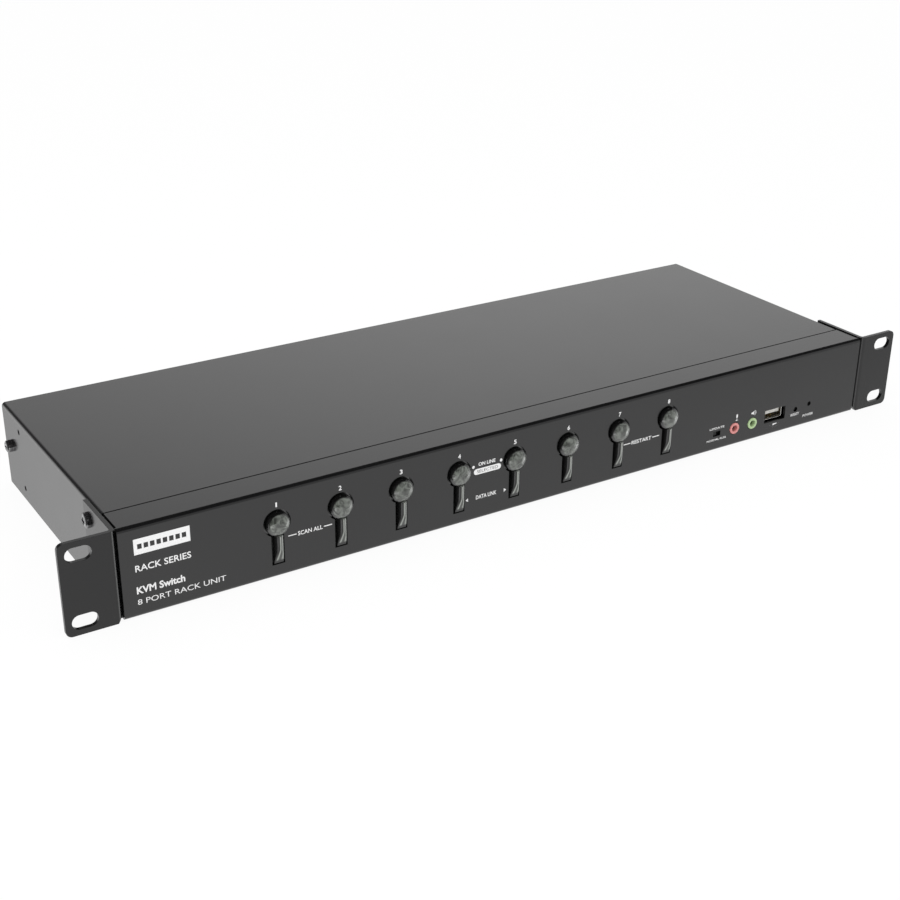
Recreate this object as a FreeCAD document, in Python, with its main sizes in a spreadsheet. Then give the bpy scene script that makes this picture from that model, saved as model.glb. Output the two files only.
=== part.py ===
import FreeCAD, Part
import os
import re
import Sketcher

# Eight-port keyboard, video and mouse switch for a 19-inch rack, one unit high.
# X runs to the right seen from the front, Y runs from the front to the back, Z is up.
# Every piece is drawn with Y = 0 on the face of the front wall and Z = 0 on the underside,
# and its own Placement then moves it so that the origin is under the middle of the whole unit.

DOCUMENT_NAME = "rack_kvm_switch"
SHEET_NAME = "Dims"
PARTS_FOLDER = "parts"
MAX_NODES = 60

doc = FreeCAD.newDocument(DOCUMENT_NAME)
sheet = doc.addObject("Spreadsheet::Sheet", SHEET_NAME)

# Driving dimensions, in millimetres: one word, one value, one remark.
DIMENSIONS = (
    # enclosure
    ("chassis_width", 432.0, "outside of the cover, side to side"),
    ("chassis_height", 43.6, "underside to the top of the cover"),
    ("chassis_depth", 156.0, "face of the front wall to the back edge of the cover"),
    ("sheet_wall", 1.2, "thickness of the folded steel sheet"),
    ("outer_bend", 2.0, "outside radius of the sheet bends"),
    ("strip_depth", 17.3, "top strip folded back from the front wall"),
    ("seam_gap", 0.8, "joint between the top strip and the cover"),
    ("side_gap", 0.2, "play between the tray and the cover's sides"),
    ("front_inset", 0.5, "front wall set in from the cover's side"),
    ("corner_relief", 2.6, "where the cover's sides start behind the front face"),
    ("floor_clear", 0.4, "cover's sides stop this far above the underside"),
    ("lip_height", 40.0, "upstand along each side of the tray"),
    ("lip_start", 18.0, "front end of the upstand"),
    ("lip_end", 150.0, "back end of the upstand"),
    # rack ears
    ("rack_width", 482.6, "across both ears"),
    ("ear_height", 44.0, "one rack unit less its clearance"),
    ("ear_wall", 2.0, "thickness of the ears"),
    ("ear_proud", 0.6, "ears stand in front of the front wall"),
    ("ear_flange_end", 33.5, "back end of the ear's side flange"),
    ("ear_bend", 3.0, "outside radius of the ear's bend"),
    ("ear_corner", 3.0, "outer corner radius of the ear"),
    ("ear_relief", 2.4, "corner cut at the lower end of the bend, across"),
    ("ear_relief_rise", 3.2, "height of that corner cut"),
    ("slot_pitch_x", 465.1, "rack slots, side to side"),
    ("slot_pitch_z", 31.75, "rack slots, one above the other"),
    ("slot_radius", 3.4, "half the width of a rack slot"),
    ("slot_length", 11.6, "end to end of a rack slot"),
    # side fasteners
    ("ear_screw_y", 29.0, "ear screws behind the front face"),
    ("ear_screw_spread", 28.6, "upper to lower ear screw"),
    ("ear_head_radius", 3.6, "pan head of the ear screws"),
    ("screw_head_radius", 3.1, "pan head of the cover screws"),
    ("screw_head_rise", 2.2, "height of the ear screws' heads"),
    ("cover_screw_y", 147.5, "cover screws behind the front face"),
    ("cover_screw_z", 23.6, "cover screws above the underside"),
    ("cover_screw_rise", 2.9, "height of the cover screws' tall heads"),
    ("screw_radius", 1.5, "shank of the case screws"),
    ("screw_grip", 5.5, "length of a case screw under its head"),
    ("thread_fit", 0.05, "play round a shank in the outer sheets"),
    ("recess_radius", 0.55, "arm of the cross recess"),
    ("recess_arm", 1.7, "reach of the cross recess"),
    ("recess_depth", 1.0, "depth of the cross recess"),
    ("tab_hole_radius", 1.4, "spare holes in the cover's sides"),
    ("tab_hole_y", 131.0, "spare holes behind the front face"),
    ("tab_hole_low", 7.0, "lower spare hole"),
    ("tab_hole_high", 37.2, "upper spare hole"),
    # port buttons
    ("button_pitch", 31.75, "one port button to the next"),
    ("button_row_x", -31.75, "middle of the row of buttons"),
    ("button_z", 27.2, "middle of the round caps"),
    ("cap_radius", 5.9, "round cap"),
    ("cap_rim", 1.5, "straight side of the cap in front of the wall"),
    ("dome_rise", 2.3, "dome on the cap"),
    ("button_gap", 0.85, "play round a button in the front wall"),
    ("flange_margin", 1.6, "retaining flange beyond the cap and stem"),
    ("flange_wall", 1.2, "thickness of the retaining flange"),
    ("flange_gap", 0.3, "flange to the back of the front wall"),
    ("stem_radius", 2.3, "half-round stem of the keyhole shape"),
    ("stem_base", 0.3, "straight foot of the stem in front of the wall"),
    ("stem_end_z", 7.4, "lower end of the stem"),
    ("stem_ramp", 6.4, "length of the slanted lower end"),
    ("lens_tail", 0.8, "light guide behind the flange"),
    ("button_travel", 1.0, "push of a port button"),
    ("actuator_radius", 1.6, "post that works the key switch"),
    ("actuator_fit", 0.1, "radial play of a post in its switch"),
    ("actuator_reach", 2.2, "post inside its switch at rest"),
    ("switch_size", 7.2, "square housing of a key switch"),
    ("switch_front_gap", 0.8, "pushed flange to the key switch"),
    ("switch_depth", 4.6, "height of a key switch on its board"),
    # selector board
    ("board_wall", 1.6, "thickness of the circuit boards"),
    ("selector_left", -162.0, "left edge of the selector board"),
    ("selector_right", 98.0, "right edge of the selector board"),
    ("selector_low", 4.0, "lower edge of the selector board"),
    ("selector_high", 39.5, "upper edge of the selector board"),
    ("spacer_radius", 2.6, "posts that hold the selector board"),
    ("spacer_z", 35.5, "posts of the selector board above the underside"),
    ("led_width", 2.0, "indicator lamps on the boards"),
    ("led_height", 1.3, "indicator lamps on the boards"),
    ("led_rise", 0.9, "indicator lamps above their board"),
    ("led_offset", 5.0, "upper lamp above the middle of its button"),
    ("stem_led_z", 12.4, "lower lamp above the underside"),
    # front ports
    ("port_board_left", 106.0, "left edge of the front port board"),
    ("port_board_right", 186.0, "right edge of the front port board"),
    ("port_board_front", 2.2, "front edge of the front port board"),
    ("port_board_back", 34.0, "back edge of the front port board"),
    ("port_board_top", 6.4, "top face of the front port board"),
    ("slider_x", 114.4, "middle of the firmware switch"),
    ("slider_z", 9.8, "middle of the firmware switch"),
    ("knob_width", 2.4, "slider knob"),
    ("knob_height", 2.2, "slider knob"),
    ("slider_travel", 2.0, "throw of the slider"),
    ("knob_gap", 0.3, "play round the knob"),
    ("knob_recess", 0.6, "knob behind the front face"),
    ("slider_base", 1.0, "carrier behind the knob"),
    ("slider_body_wall", 0.8, "housing of the slide switch"),
    ("slider_body_depth", 5.2, "housing of the slide switch"),
    ("slider_body_front", 2.4, "housing behind the front face"),
    ("slider_margin", 1.0, "carrier wider than the knob on each side"),
    ("jack_z", 10.1, "middle of the audio sockets"),
    ("mic_x", 126.7, "microphone socket"),
    ("speaker_x", 139.4, "loudspeaker socket"),
    ("jack_bore", 1.8, "radius of an audio socket's hole"),
    ("jack_collar", 3.1, "round collar of an audio socket"),
    ("jack_proud", 0.4, "collar in front of the wall"),
    ("jack_gap", 0.3, "play round a collar"),
    ("jack_width", 7.4, "body of an audio socket"),
    ("jack_height", 7.4, "body of an audio socket"),
    ("jack_front", 1.9, "body behind the outer face"),
    ("jack_depth", 12.0, "body of an audio socket, front to back"),
    ("jack_bore_depth", 14.0, "depth of an audio socket's hole"),
    ("usb_x", 155.8, "front data socket"),
    ("usb_z", 11.4, "front data socket"),
    ("usb_width", 13.4, "outside of the flat data shell"),
    ("usb_height", 5.8, "outside of the flat data shell"),
    ("usb_wall", 0.4, "sheet of the data shells"),
    ("usb_depth", 13.6, "length of the flat data shell"),
    ("usb_recess", 2.0, "shell behind the front face"),
    ("usb_gap", 0.8, "wall opening round the shell"),
    ("usb_leg", 1.2, "width of the shell's solder legs"),
    ("tongue_width", 11.0, "contact tongue of a flat data socket"),
    ("tongue_height", 1.9, "contact tongue of a flat data socket"),
    ("tongue_lift", 1.0, "tongue above the middle of its shell"),
    ("tongue_recess", 1.0, "tongue behind the shell's mouth"),
    ("tongue_root", 2.6, "thick root of the tongue at the shell's back"),
    ("reset_x", 171.0, "reset hole"),
    ("reset_z", 11.2, "reset hole"),
    ("reset_hole", 1.4, "radius of the reset hole"),
    ("reset_plunger", 0.8, "radius of the reset plunger"),
    ("reset_recess", 0.8, "plunger behind the front face"),
    ("reset_travel", 0.5, "push of the reset plunger"),
    ("reset_body", 5.0, "square housing of the reset switch"),
    ("reset_body_front", 3.4, "housing behind the front face"),
    ("reset_body_depth", 4.0, "housing of the reset switch"),
    ("reset_collar", 1.5, "disc behind the plunger's neck"),
    ("reset_collar_wall", 0.6, "thickness of that disc"),
    ("reset_post", 0.7, "radius of the post in the housing"),
    ("reset_post_length", 1.8, "post in the housing"),
    ("power_x", 181.0, "power lamp"),
    ("power_z", 12.4, "power lamp"),
    ("power_hole", 1.3, "radius of the power lamp's hole"),
    ("power_lens", 1.1, "radius of the power lamp"),
    ("power_recess", 0.9, "lamp behind the front face"),
    ("power_flange", 1.6, "collar of the power lamp"),
    ("power_body", 6.0, "length of the power lamp"),
    ("power_lead", 0.5, "lead of the power lamp"),
    # rear panel
    ("rear_recess", 0.5, "rear panel inside the cover's back edge"),
    ("rear_gap", 0.3, "rear panel to the cover and the tray's sides"),
    ("rear_foot", 9.0, "foot of the rear panel on the tray's floor"),
    ("column_pitch", 43.0, "one group of sockets to the next"),
    ("column_first", -186.0, "first group of sockets, for the console"),
    ("video_z", 15.8, "middle of the video sockets"),
    ("video_width", 25.0, "video socket's shell"),
    ("video_height", 8.8, "video socket's shell"),
    ("video_taper", 1.3, "video shell narrower at the bottom, each side"),
    ("video_wall", 0.5, "sheet of the video shells"),
    ("video_reach", 5.8, "video shells behind the rear panel's outer face"),
    ("video_plate_margin", 2.35, "flange of a video socket beyond the middle of its posts"),
    ("video_plate_height", 12.0, "flange of a video socket"),
    ("video_plate_wall", 1.0, "flange of a video socket"),
    ("video_body_depth", 13.0, "body of a video socket inside the case"),
    ("video_insert_recess", 0.6, "insulator inside the shell's mouth"),
    ("video_blade_width", 3.0, "blade slot of a video socket"),
    ("video_blade_height", 1.0, "blade slot of a video socket"),
    ("pin_hole", 0.45, "contact holes"),
    ("pin_pitch", 1.9, "contact hole to contact hole"),
    ("post_clear", 1.45, "corner of a hexagon post to the side of its video shell"),
    ("post_radius", 2.7, "corner radius of a hexagon post"),
    ("post_length", 5.0, "hexagon posts behind the rear panel"),
    ("post_bore", 1.25, "threaded hole of a post"),
    ("post_bore_depth", 4.0, "threaded hole of a post"),
    ("post_shank", 1.4, "shank of a post through the panel"),
    ("upper_board_top", 25.6, "top face of the upper port board"),
    ("upper_board_front", 112.0, "front edge of the upper port board"),
    ("upper_row_lift", 0.1, "socket bodies above their board"),
    ("host_usb_offset", -12.0, "square data socket from its column's middle"),
    ("host_usb_size", 11.4, "square data socket, side to side"),
    ("host_usb_height", 10.6, "square data socket, top to bottom"),
    ("host_usb_depth", 16.0, "square data socket, front to back"),
    ("host_usb_wall", 0.5, "shell of the square data socket"),
    ("host_usb_chamfer", 1.6, "cut upper corners of the square data socket"),
    ("host_tongue_width", 5.6, "tongue of the square data socket"),
    ("host_tongue_height", 3.2, "tongue of the square data socket"),
    ("rear_mic_offset", 2.4, "microphone socket from its column's middle"),
    ("rear_speaker_offset", 14.0, "loudspeaker socket from its column's middle"),
    ("rear_jack_z", 30.2, "middle of the rear audio sockets"),
    ("stack_height", 14.6, "double data socket of the console"),
    ("power_in_x", 199.0, "power inlet"),
    ("power_in_z", 15.4, "power inlet"),
    ("power_in_size", 11.0, "body of the power inlet"),
    ("power_in_depth", 14.0, "body of the power inlet"),
    ("power_in_bore", 3.2, "radius of the power inlet's hole"),
    ("power_in_bore_depth", 9.5, "depth of the power inlet's hole"),
    ("power_in_pin", 1.0, "radius of the inlet's pin"),
    ("power_in_pin_inset", 0.8, "pin inside the mouth"),
    ("ground_x", 199.0, "earthing screw"),
    ("ground_z", 32.4, "earthing screw"),
    ("ground_head", 3.8, "head of the earthing screw"),
    ("ground_rise", 2.4, "head of the earthing screw"),
    ("ground_washer", 4.6, "toothed washer under the head"),
    ("ground_washer_wall", 0.8, "toothed washer under the head"),
    # boards inside
    ("main_left", -206.0, "left edge of the main board"),
    ("main_right", 206.0, "right edge of the main board"),
    ("main_front", 42.0, "front edge of the main board"),
    ("board_back_gap", 0.5, "boards to the rear panel"),
    ("main_top", 8.8, "top face of the main board"),
    ("standoff_radius", 2.8, "threaded posts under the boards"),
    ("board_screw_head", 2.7, "screws of the boards"),
    ("board_screw_rise", 1.8, "screws of the boards"),
    ("board_screw_shank", 1.3, "screws of the boards"),
    ("board_screw_grip", 4.0, "screws of the boards, under the head"),
    ("main_post_x", 196.0, "outer posts of the main board"),
    ("main_post_inner", 66.0, "inner posts of the main board"),
    ("main_post_front", 48.0, "front posts of the main board"),
    ("main_post_back", 106.0, "back posts of the main board"),
    ("chip_size", 14.0, "port chips"),
    ("chip_rise", 1.4, "port chips"),
    ("chip_pitch", 43.0, "port chip to port chip"),
    ("chip_y", 90.0, "row of port chips"),
    ("processor_size", 24.0, "processor"),
    ("processor_rise", 2.0, "processor"),
    ("processor_x", 30.0, "processor"),
    ("processor_y", 64.0, "processor"),
    ("sink_size", 26.0, "heat sink on the processor"),
    ("sink_base", 2.0, "foot of the heat sink"),
    ("sink_rise", 7.0, "fins of the heat sink"),
    ("sink_fin", 1.2, "thickness of a fin"),
    ("sink_pitch", 3.1, "fin to fin"),
    ("can_radius", 4.0, "smoothing capacitors"),
    ("can_rise", 11.0, "smoothing capacitors"),
    ("can_first_x", 150.0, "first capacitor"),
    ("can_pitch", 12.0, "capacitor to capacitor"),
    ("can_y", 62.0, "capacitors"),
    ("header_width", 26.0, "plugs of the ribbon cable"),
    ("header_height", 5.0, "plugs of the ribbon cable"),
    ("header_rise", 6.0, "plugs of the ribbon cable"),
    ("header_x", -95.25, "ribbon cable"),
    ("header_y", 52.0, "plug on the main board"),
    ("header_z", 20.0, "plug on the selector board"),
    ("ribbon_width", 22.0, "ribbon cable"),
    ("ribbon_wall", 1.0, "ribbon cable"),
)

ALIASES = [entry[0] for entry in DIMENSIONS]
for row, (alias, value, remark) in enumerate(DIMENSIONS, start=1):
    sheet.set("A%d" % row, alias)
    sheet.set("B%d" % row, repr(value))
    sheet.setAlias("B%d" % row, alias)
    sheet.set("C%d" % row, remark)
doc.recompute()

WORD = re.compile(r"\b(" + "|".join(sorted(ALIASES, key=len, reverse=True)) + r")\b")

# The unit's bounding box runs from the port buttons' domes to the video sockets' mouths.
FRONT_Y = "(-chassis_depth + rear_recess - video_reach + cap_rim + dome_rise) / 2"
REAR_FACE = "(chassis_depth - rear_recess)"
HALF_INSIDE = "(chassis_width / 2 - sheet_wall - side_gap)"

nodes = []


def formula(text):
    """Write a formula of named dimensions the way the sheet's own expressions need it."""
    return WORD.sub(lambda found: SHEET_NAME + "." + found.group(1), text)


def value_of(text):
    """Work a formula of named dimensions out as a number."""
    return float(sheet.evalExpression(formula(text)))


def drive(item, prop, text):
    """Bind one property of an object to a formula of the sheet's cells."""
    item.setExpression(prop, formula(text))


def place(item, x, y, z):
    """Bind an object's position."""
    drive(item, "Placement.Base.x", x)
    drive(item, "Placement.Base.y", y)
    drive(item, "Placement.Base.z", z)
    return item


def block(name, width, depth, height, x, y, z):
    """Box with its lower, front, left corner at x, y, z."""
    box = doc.addObject("Part::Box", name)
    drive(box, "Length", width)
    drive(box, "Width", depth)
    drive(box, "Height", height)
    return place(box, x, y, z)


def centred_block(name, width, depth, height, x, y, z):
    """Box centred on x and z that starts at y and runs back."""
    return block(name, width, depth, height, "%s - (%s) / 2" % (x, width), y, "%s - (%s) / 2" % (z, height))


TURNS = {
    "X": FreeCAD.Rotation(FreeCAD.Vector(0, 1, 0), 90),
    "-X": FreeCAD.Rotation(FreeCAD.Vector(0, 1, 0), -90),
    "Y": FreeCAD.Rotation(FreeCAD.Vector(1, 0, 0), -90),
    "Z": FreeCAD.Rotation(),
}


def rod(name, radius, length, x, y, z, along="Y"):
    """Cylinder that starts at x, y, z and runs along an axis."""
    cylinder = doc.addObject("Part::Cylinder", name)
    drive(cylinder, "Radius", radius)
    drive(cylinder, "Height", length)
    cylinder.Placement = FreeCAD.Placement(FreeCAD.Vector(), TURNS[along])
    return place(cylinder, x, y, z)


def union(name, pieces):
    """Several shapes made one."""
    if len(pieces) == 1:
        return pieces[0]
    joined = doc.addObject("Part::MultiFuse", name)
    joined.Shapes = pieces
    return joined


def minus(name, base, tools):
    """A shape with others cut out of it."""
    result = doc.addObject("Part::Cut", name)
    result.Base = base
    result.Tool = union(name + "Tool", tools)
    return result


def overlap(name, first, second):
    """What two shapes share."""
    result = doc.addObject("Part::Common", name)
    result.Base = first
    result.Tool = second
    return result


def group(name, pieces):
    """Separate solids kept apart in one shape."""
    bundle = doc.addObject("Part::Compound", name)
    bundle.Links = pieces
    return bundle


def node(label, item, already_turned=False):
    """Name a finished piece and move it from the front wall's frame to the unit's frame."""
    item.Label = label
    if not already_turned:
        item.Placement = FreeCAD.Placement()
    drive(item, "Placement.Base.y", FRONT_Y)
    nodes.append((label, item))
    return item


def origin_plane(body, role):
    """One of a body's own origin planes."""
    return [feature for feature in body.Origin.OriginFeatures if feature.Role == role][0]


def new_body(name):
    """An empty PartDesign body."""
    return doc.addObject("PartDesign::Body", name)


def sketch_on(body, name, role):
    """An empty sketch on one of the body's origin planes."""
    sketch = body.newObject("Sketcher::SketchObject", name)
    sketch.AttachmentSupport = [(origin_plane(body, role), "")]
    sketch.MapMode = "FlatFace"
    return sketch


def pin_point(sketch, geometry, point, across, up):
    """Fix a point of a sketch at two formulas measured from the sketch's origin."""
    index = sketch.addConstraint(Sketcher.Constraint("DistanceX", -1, 1, geometry, point, value_of(across)))
    sketch.setExpression("Constraints[%d]" % index, formula(across))
    index = sketch.addConstraint(Sketcher.Constraint("DistanceY", -1, 1, geometry, point, value_of(up)))
    sketch.setExpression("Constraints[%d]" % index, formula(up))


def outline(body, name, role, corners):
    """Closed outline of straight lines; every corner is a pair of formulas."""
    sketch = sketch_on(body, name, role)
    points = [FreeCAD.Vector(value_of(across), value_of(up), 0) for across, up in corners]
    count = len(points)
    for index in range(count):
        sketch.addGeometry(Part.LineSegment(points[index], points[(index + 1) % count]), False)
    for index in range(count):
        sketch.addConstraint(Sketcher.Constraint("Coincident", index, 2, (index + 1) % count, 1))
    for index, (across, up) in enumerate(corners):
        pin_point(sketch, index, 1, across, up)
    return sketch


def rectangle(body, name, role, left, right, low, high):
    """Rectangular outline between four formulas."""
    return outline(body, name, role, ((left, low), (right, low), (right, high), (left, high)))


def circle(body, name, role, across, up, radius):
    """Circular outline."""
    sketch = sketch_on(body, name, role)
    centre = FreeCAD.Vector(value_of(across), value_of(up), 0)
    sketch.addGeometry(Part.Circle(centre, FreeCAD.Vector(0, 0, 1), value_of(radius)), False)
    pin_point(sketch, 0, 3, across, up)
    index = sketch.addConstraint(Sketcher.Constraint("Radius", 0, value_of(radius)))
    sketch.setExpression("Constraints[%d]" % index, formula(radius))
    return sketch


def obround(body, name, role, across, up, length, radius):
    """Slot outline with round ends, longer across than up."""
    sketch = sketch_on(body, name, role)
    left = "%s - (%s) / 2 + %s" % (across, length, radius)
    right = "%s + (%s) / 2 - %s" % (across, length, radius)
    size = value_of(radius)
    middle = value_of(up)
    low = middle - size
    high = middle + size
    start = FreeCAD.Vector(value_of(left), low, 0)
    end = FreeCAD.Vector(value_of(right), low, 0)
    upper_start = FreeCAD.Vector(value_of(right), high, 0)
    upper_end = FreeCAD.Vector(value_of(left), high, 0)
    right_tip = FreeCAD.Vector(value_of(right) + size, middle, 0)
    left_tip = FreeCAD.Vector(value_of(left) - size, middle, 0)
    sketch.addGeometry(Part.LineSegment(start, end), False)
    sketch.addGeometry(Part.Arc(end, right_tip, upper_start), False)
    sketch.addGeometry(Part.LineSegment(upper_start, upper_end), False)
    sketch.addGeometry(Part.Arc(upper_end, left_tip, start), False)
    sketch.addConstraint(Sketcher.Constraint("Tangent", 0, 2, 1, 1))
    sketch.addConstraint(Sketcher.Constraint("Tangent", 1, 2, 2, 1))
    sketch.addConstraint(Sketcher.Constraint("Tangent", 2, 2, 3, 1))
    sketch.addConstraint(Sketcher.Constraint("Tangent", 3, 2, 0, 1))
    pin_point(sketch, 1, 3, right, up)
    pin_point(sketch, 3, 3, left, up)
    for arc in (1, 3):
        index = sketch.addConstraint(Sketcher.Constraint("Radius", arc, size))
        sketch.setExpression("Constraints[%d]" % index, formula(radius))
    return sketch


def offset_sketch(sketch, distance):
    """Move a sketch along its own normal."""
    drive(sketch, "AttachmentOffset.Base.z", distance)
    return sketch


def pad(body, sketch, length, midplane=False, reverse=False):
    """Thicken an outline into the body."""
    feature = body.newObject("PartDesign::Pad", sketch.Name + "Pad")
    feature.Profile = sketch
    feature.Midplane = midplane
    feature.Reversed = reverse
    drive(feature, "Length", length)
    doc.recompute()
    return feature


def pocket(body, sketch, length, midplane=False, reverse=False):
    """Cut an outline out of the body, and make sure that it cut something."""
    before = body.Shape.Volume
    feature = body.newObject("PartDesign::Pocket", sketch.Name + "Pocket")
    feature.Profile = sketch
    feature.Midplane = midplane
    feature.Reversed = reverse
    drive(feature, "Length", length)
    doc.recompute()
    if not body.Shape.Volume < before:
        raise RuntimeError("the cut %s removes nothing" % feature.Name)
    return feature


def row_of(body, feature, sketch, pitch, count):
    """Repeat a feature along the sketch's horizontal axis."""
    before = body.Shape.Volume
    pattern = body.newObject("PartDesign::LinearPattern", feature.Name + "Row")
    pattern.Originals = [feature]
    pattern.Direction = (sketch, ["H_Axis"])
    pattern.Occurrences = count
    drive(pattern, "Length", "%s * %d" % (pitch, count - 1))
    body.Tip = pattern
    doc.recompute()
    if abs(body.Shape.Volume - before) == 0.0:
        raise RuntimeError("the row %s repeats nothing" % pattern.Name)
    return pattern


def round_edges(body, radius, chosen):
    """Fillet the body's edges that the test picks by their two ends."""
    base = body.Tip
    names = []
    for index, edge in enumerate(base.Shape.Edges, start=1):
        ends = [vertex.Point for vertex in edge.Vertexes]
        if len(ends) == 2 and chosen(ends[0], ends[1]):
            names.append("Edge%d" % index)
    if not names:
        raise RuntimeError("no edge to round on %s" % body.Name)
    feature = body.newObject("PartDesign::Fillet", body.Name + "Round%d" % len(body.Group))
    feature.Base = (base, names)
    drive(feature, "Radius", radius)
    doc.recompute()
    return feature


def near(first, text):
    """Whether a coordinate is where a formula says."""
    return abs(first - value_of(text)) < value_of("sheet_wall") / 1000.0


# ---------------------------------------------------------------------------------------------
# Enclosure
# ---------------------------------------------------------------------------------------------

BUTTON_COUNT = 8
BUTTON_NUMBERS = range(1, BUTTON_COUNT + 1)
SIDES = (("Right", "1"), ("Left", "-1"))
EAR_SCREWS = (
    ("EarHigh", "ear_screw_y", "(ear_height + ear_screw_spread) / 2"),
    ("EarLow", "ear_screw_y", "(ear_height - ear_screw_spread) / 2"),
)
SIDE_SCREWS = EAR_SCREWS + (("CoverScrew", "cover_screw_y", "cover_screw_z"),)


def button_x(number):
    """Middle of a port button, counted from the left."""
    steps = number - (BUTTON_COUNT + 1) / 2
    return "(button_row_x + button_pitch * %s)" % steps


def build_base_tray():
    """Folded tray: floor, front wall, top strip and side upstands."""
    body = new_body("BaseTray")
    section = outline(body, "TraySection", "YZ_Plane", (
        ("0", "0"),
        ("0", "chassis_height"),
        ("strip_depth", "chassis_height"),
        ("strip_depth", "chassis_height - sheet_wall"),
        ("sheet_wall", "chassis_height - sheet_wall"),
        ("sheet_wall", "sheet_wall"),
        (REAR_FACE, "sheet_wall"),
        (REAR_FACE, "0"),
    ))
    pad(body, section, "chassis_width - 2 * front_inset", midplane=True)
    for height in ("0", "chassis_height"):
        round_edges(body, "outer_bend", lambda a, b: near(a.y, "0") and near(b.y, "0")
                    and near(a.z, height) and near(b.z, height))
    for height in ("sheet_wall", "chassis_height - sheet_wall"):
        round_edges(body, "outer_bend - sheet_wall",
                    lambda a, b: near(a.y, "sheet_wall") and near(b.y, "sheet_wall")
                    and near(a.z, height) and near(b.z, height) and abs(a.x - b.x) > value_of("strip_depth"))
    for side, sign in SIDES:
        relief = rectangle(body, "Relief" + side, "XY_Plane", "%s * %s" % (sign, HALF_INSIDE),
                           "%s * chassis_width" % sign, "corner_relief", "chassis_depth * 2")
        pocket(body, relief, "chassis_height * 4", midplane=True)
        lip = rectangle(body, "Lip" + side, "XZ_Plane", "%s * (%s - sheet_wall)" % (sign, HALF_INSIDE),
                        "%s * %s" % (sign, HALF_INSIDE), "0", "lip_height")
        offset_sketch(lip, "-lip_start")
        pad(body, lip, "lip_end - lip_start", reverse=True)
        for name, along, up in SIDE_SCREWS:
            thread = circle(body, name + "Thread" + side, "YZ_Plane", along, up, "screw_radius")
            offset_sketch(thread, "%s * %s" % (sign, HALF_INSIDE))
            pocket(body, thread, "sheet_wall * 4", midplane=True)
    wall_cut = "outer_bend * 2"
    hole = circle(body, "CapHole", "XZ_Plane", button_x(1), "button_z", "cap_radius + button_gap")
    row_of(body, pocket(body, hole, wall_cut, midplane=True), hole, "button_pitch", BUTTON_COUNT)
    slot = rectangle(body, "StemSlot", "XZ_Plane", "%s - stem_radius - button_gap" % button_x(1),
                     "%s + stem_radius + button_gap" % button_x(1), "stem_end_z - button_gap", "button_z")
    row_of(body, pocket(body, slot, wall_cut, midplane=True), slot, "button_pitch", BUTTON_COUNT)
    knob_hole = rectangle(
        body, "KnobHole", "XZ_Plane",
        "slider_x - (knob_width + slider_travel) / 2 - knob_gap",
        "slider_x + (knob_width + slider_travel) / 2 + knob_gap",
        "slider_z - knob_height / 2 - knob_gap", "slider_z + knob_height / 2 + knob_gap")
    pocket(body, knob_hole, wall_cut, midplane=True)
    data_hole = rectangle(
        body, "DataHole", "XZ_Plane", "usb_x - usb_width / 2 - usb_gap", "usb_x + usb_width / 2 + usb_gap",
        "usb_z - usb_height / 2 - usb_gap", "usb_z + usb_height / 2 + usb_gap")
    pocket(body, data_hole, wall_cut, midplane=True)
    for name, across, up, radius in (
            ("MicHole", "mic_x", "jack_z", "jack_collar + jack_gap"),
            ("SpeakerHole", "speaker_x", "jack_z", "jack_collar + jack_gap"),
            ("ResetHole", "reset_x", "reset_z", "reset_hole"),
            ("PowerHole", "power_x", "power_z", "power_hole")):
        pocket(body, circle(body, name, "XZ_Plane", across, up, radius), wall_cut, midplane=True)
    return node("base_tray", body)


def build_top_cover():
    """Cover: top and both sides, with the side walls running on to the front corners."""
    body = new_body("TopCover")
    section = outline(body, "CoverSection", "XZ_Plane", (
        ("-chassis_width / 2", "floor_clear"),
        ("-chassis_width / 2", "chassis_height"),
        ("chassis_width / 2", "chassis_height"),
        ("chassis_width / 2", "floor_clear"),
        ("chassis_width / 2 - sheet_wall", "floor_clear"),
        ("chassis_width / 2 - sheet_wall", "chassis_height - sheet_wall"),
        ("-chassis_width / 2 + sheet_wall", "chassis_height - sheet_wall"),
        ("-chassis_width / 2 + sheet_wall", "floor_clear"),
    ))
    offset_sketch(section, "-strip_depth - seam_gap")
    pad(body, section, "chassis_depth - strip_depth - seam_gap", reverse=True)
    round_edges(body, "outer_bend", lambda a, b: near(a.z, "chassis_height") and near(b.z, "chassis_height")
                and near(abs(a.x), "chassis_width / 2") and near(b.x - a.x, "0"))
    round_edges(body, "outer_bend - sheet_wall",
                lambda a, b: near(a.z, "chassis_height - sheet_wall") and near(b.z, "chassis_height - sheet_wall")
                and near(abs(a.x), "chassis_width / 2 - sheet_wall") and near(b.x - a.x, "0"))
    for side, sign in SIDES:
        cheek = rectangle(body, "Cheek" + side, "XZ_Plane", "%s * (chassis_width / 2 - sheet_wall)" % sign,
                          "%s * chassis_width / 2" % sign, "floor_clear", "chassis_height - outer_bend / 2")
        offset_sketch(cheek, "-corner_relief")
        pad(body, cheek, "strip_depth + seam_gap - corner_relief + sheet_wall", reverse=True)
        side_holes = [(name, along, up, "screw_radius + thread_fit") for name, along, up in SIDE_SCREWS]
        side_holes.append(("TabHigh", "tab_hole_y", "tab_hole_high", "tab_hole_radius"))
        side_holes.append(("TabLow", "tab_hole_y", "tab_hole_low", "tab_hole_radius"))
        for name, along, up, radius in side_holes:
            hole = circle(body, name + "Hole" + side, "YZ_Plane", along, up, radius)
            offset_sketch(hole, "%s * chassis_width / 2" % sign)
            pocket(body, hole, "sheet_wall * 4", midplane=True)
    return node("top_cover", body)


# Groups of sockets across the back: the console's first, then one for each computer.
COLUMN_COUNT = BUTTON_COUNT + 1
COLUMNS = range(COLUMN_COUNT)
COMPUTER_COLUMNS = range(1, COLUMN_COUNT)


def column_x(column):
    """Middle of a group of sockets on the back."""
    return "(column_first + column_pitch * %d)" % column


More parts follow.
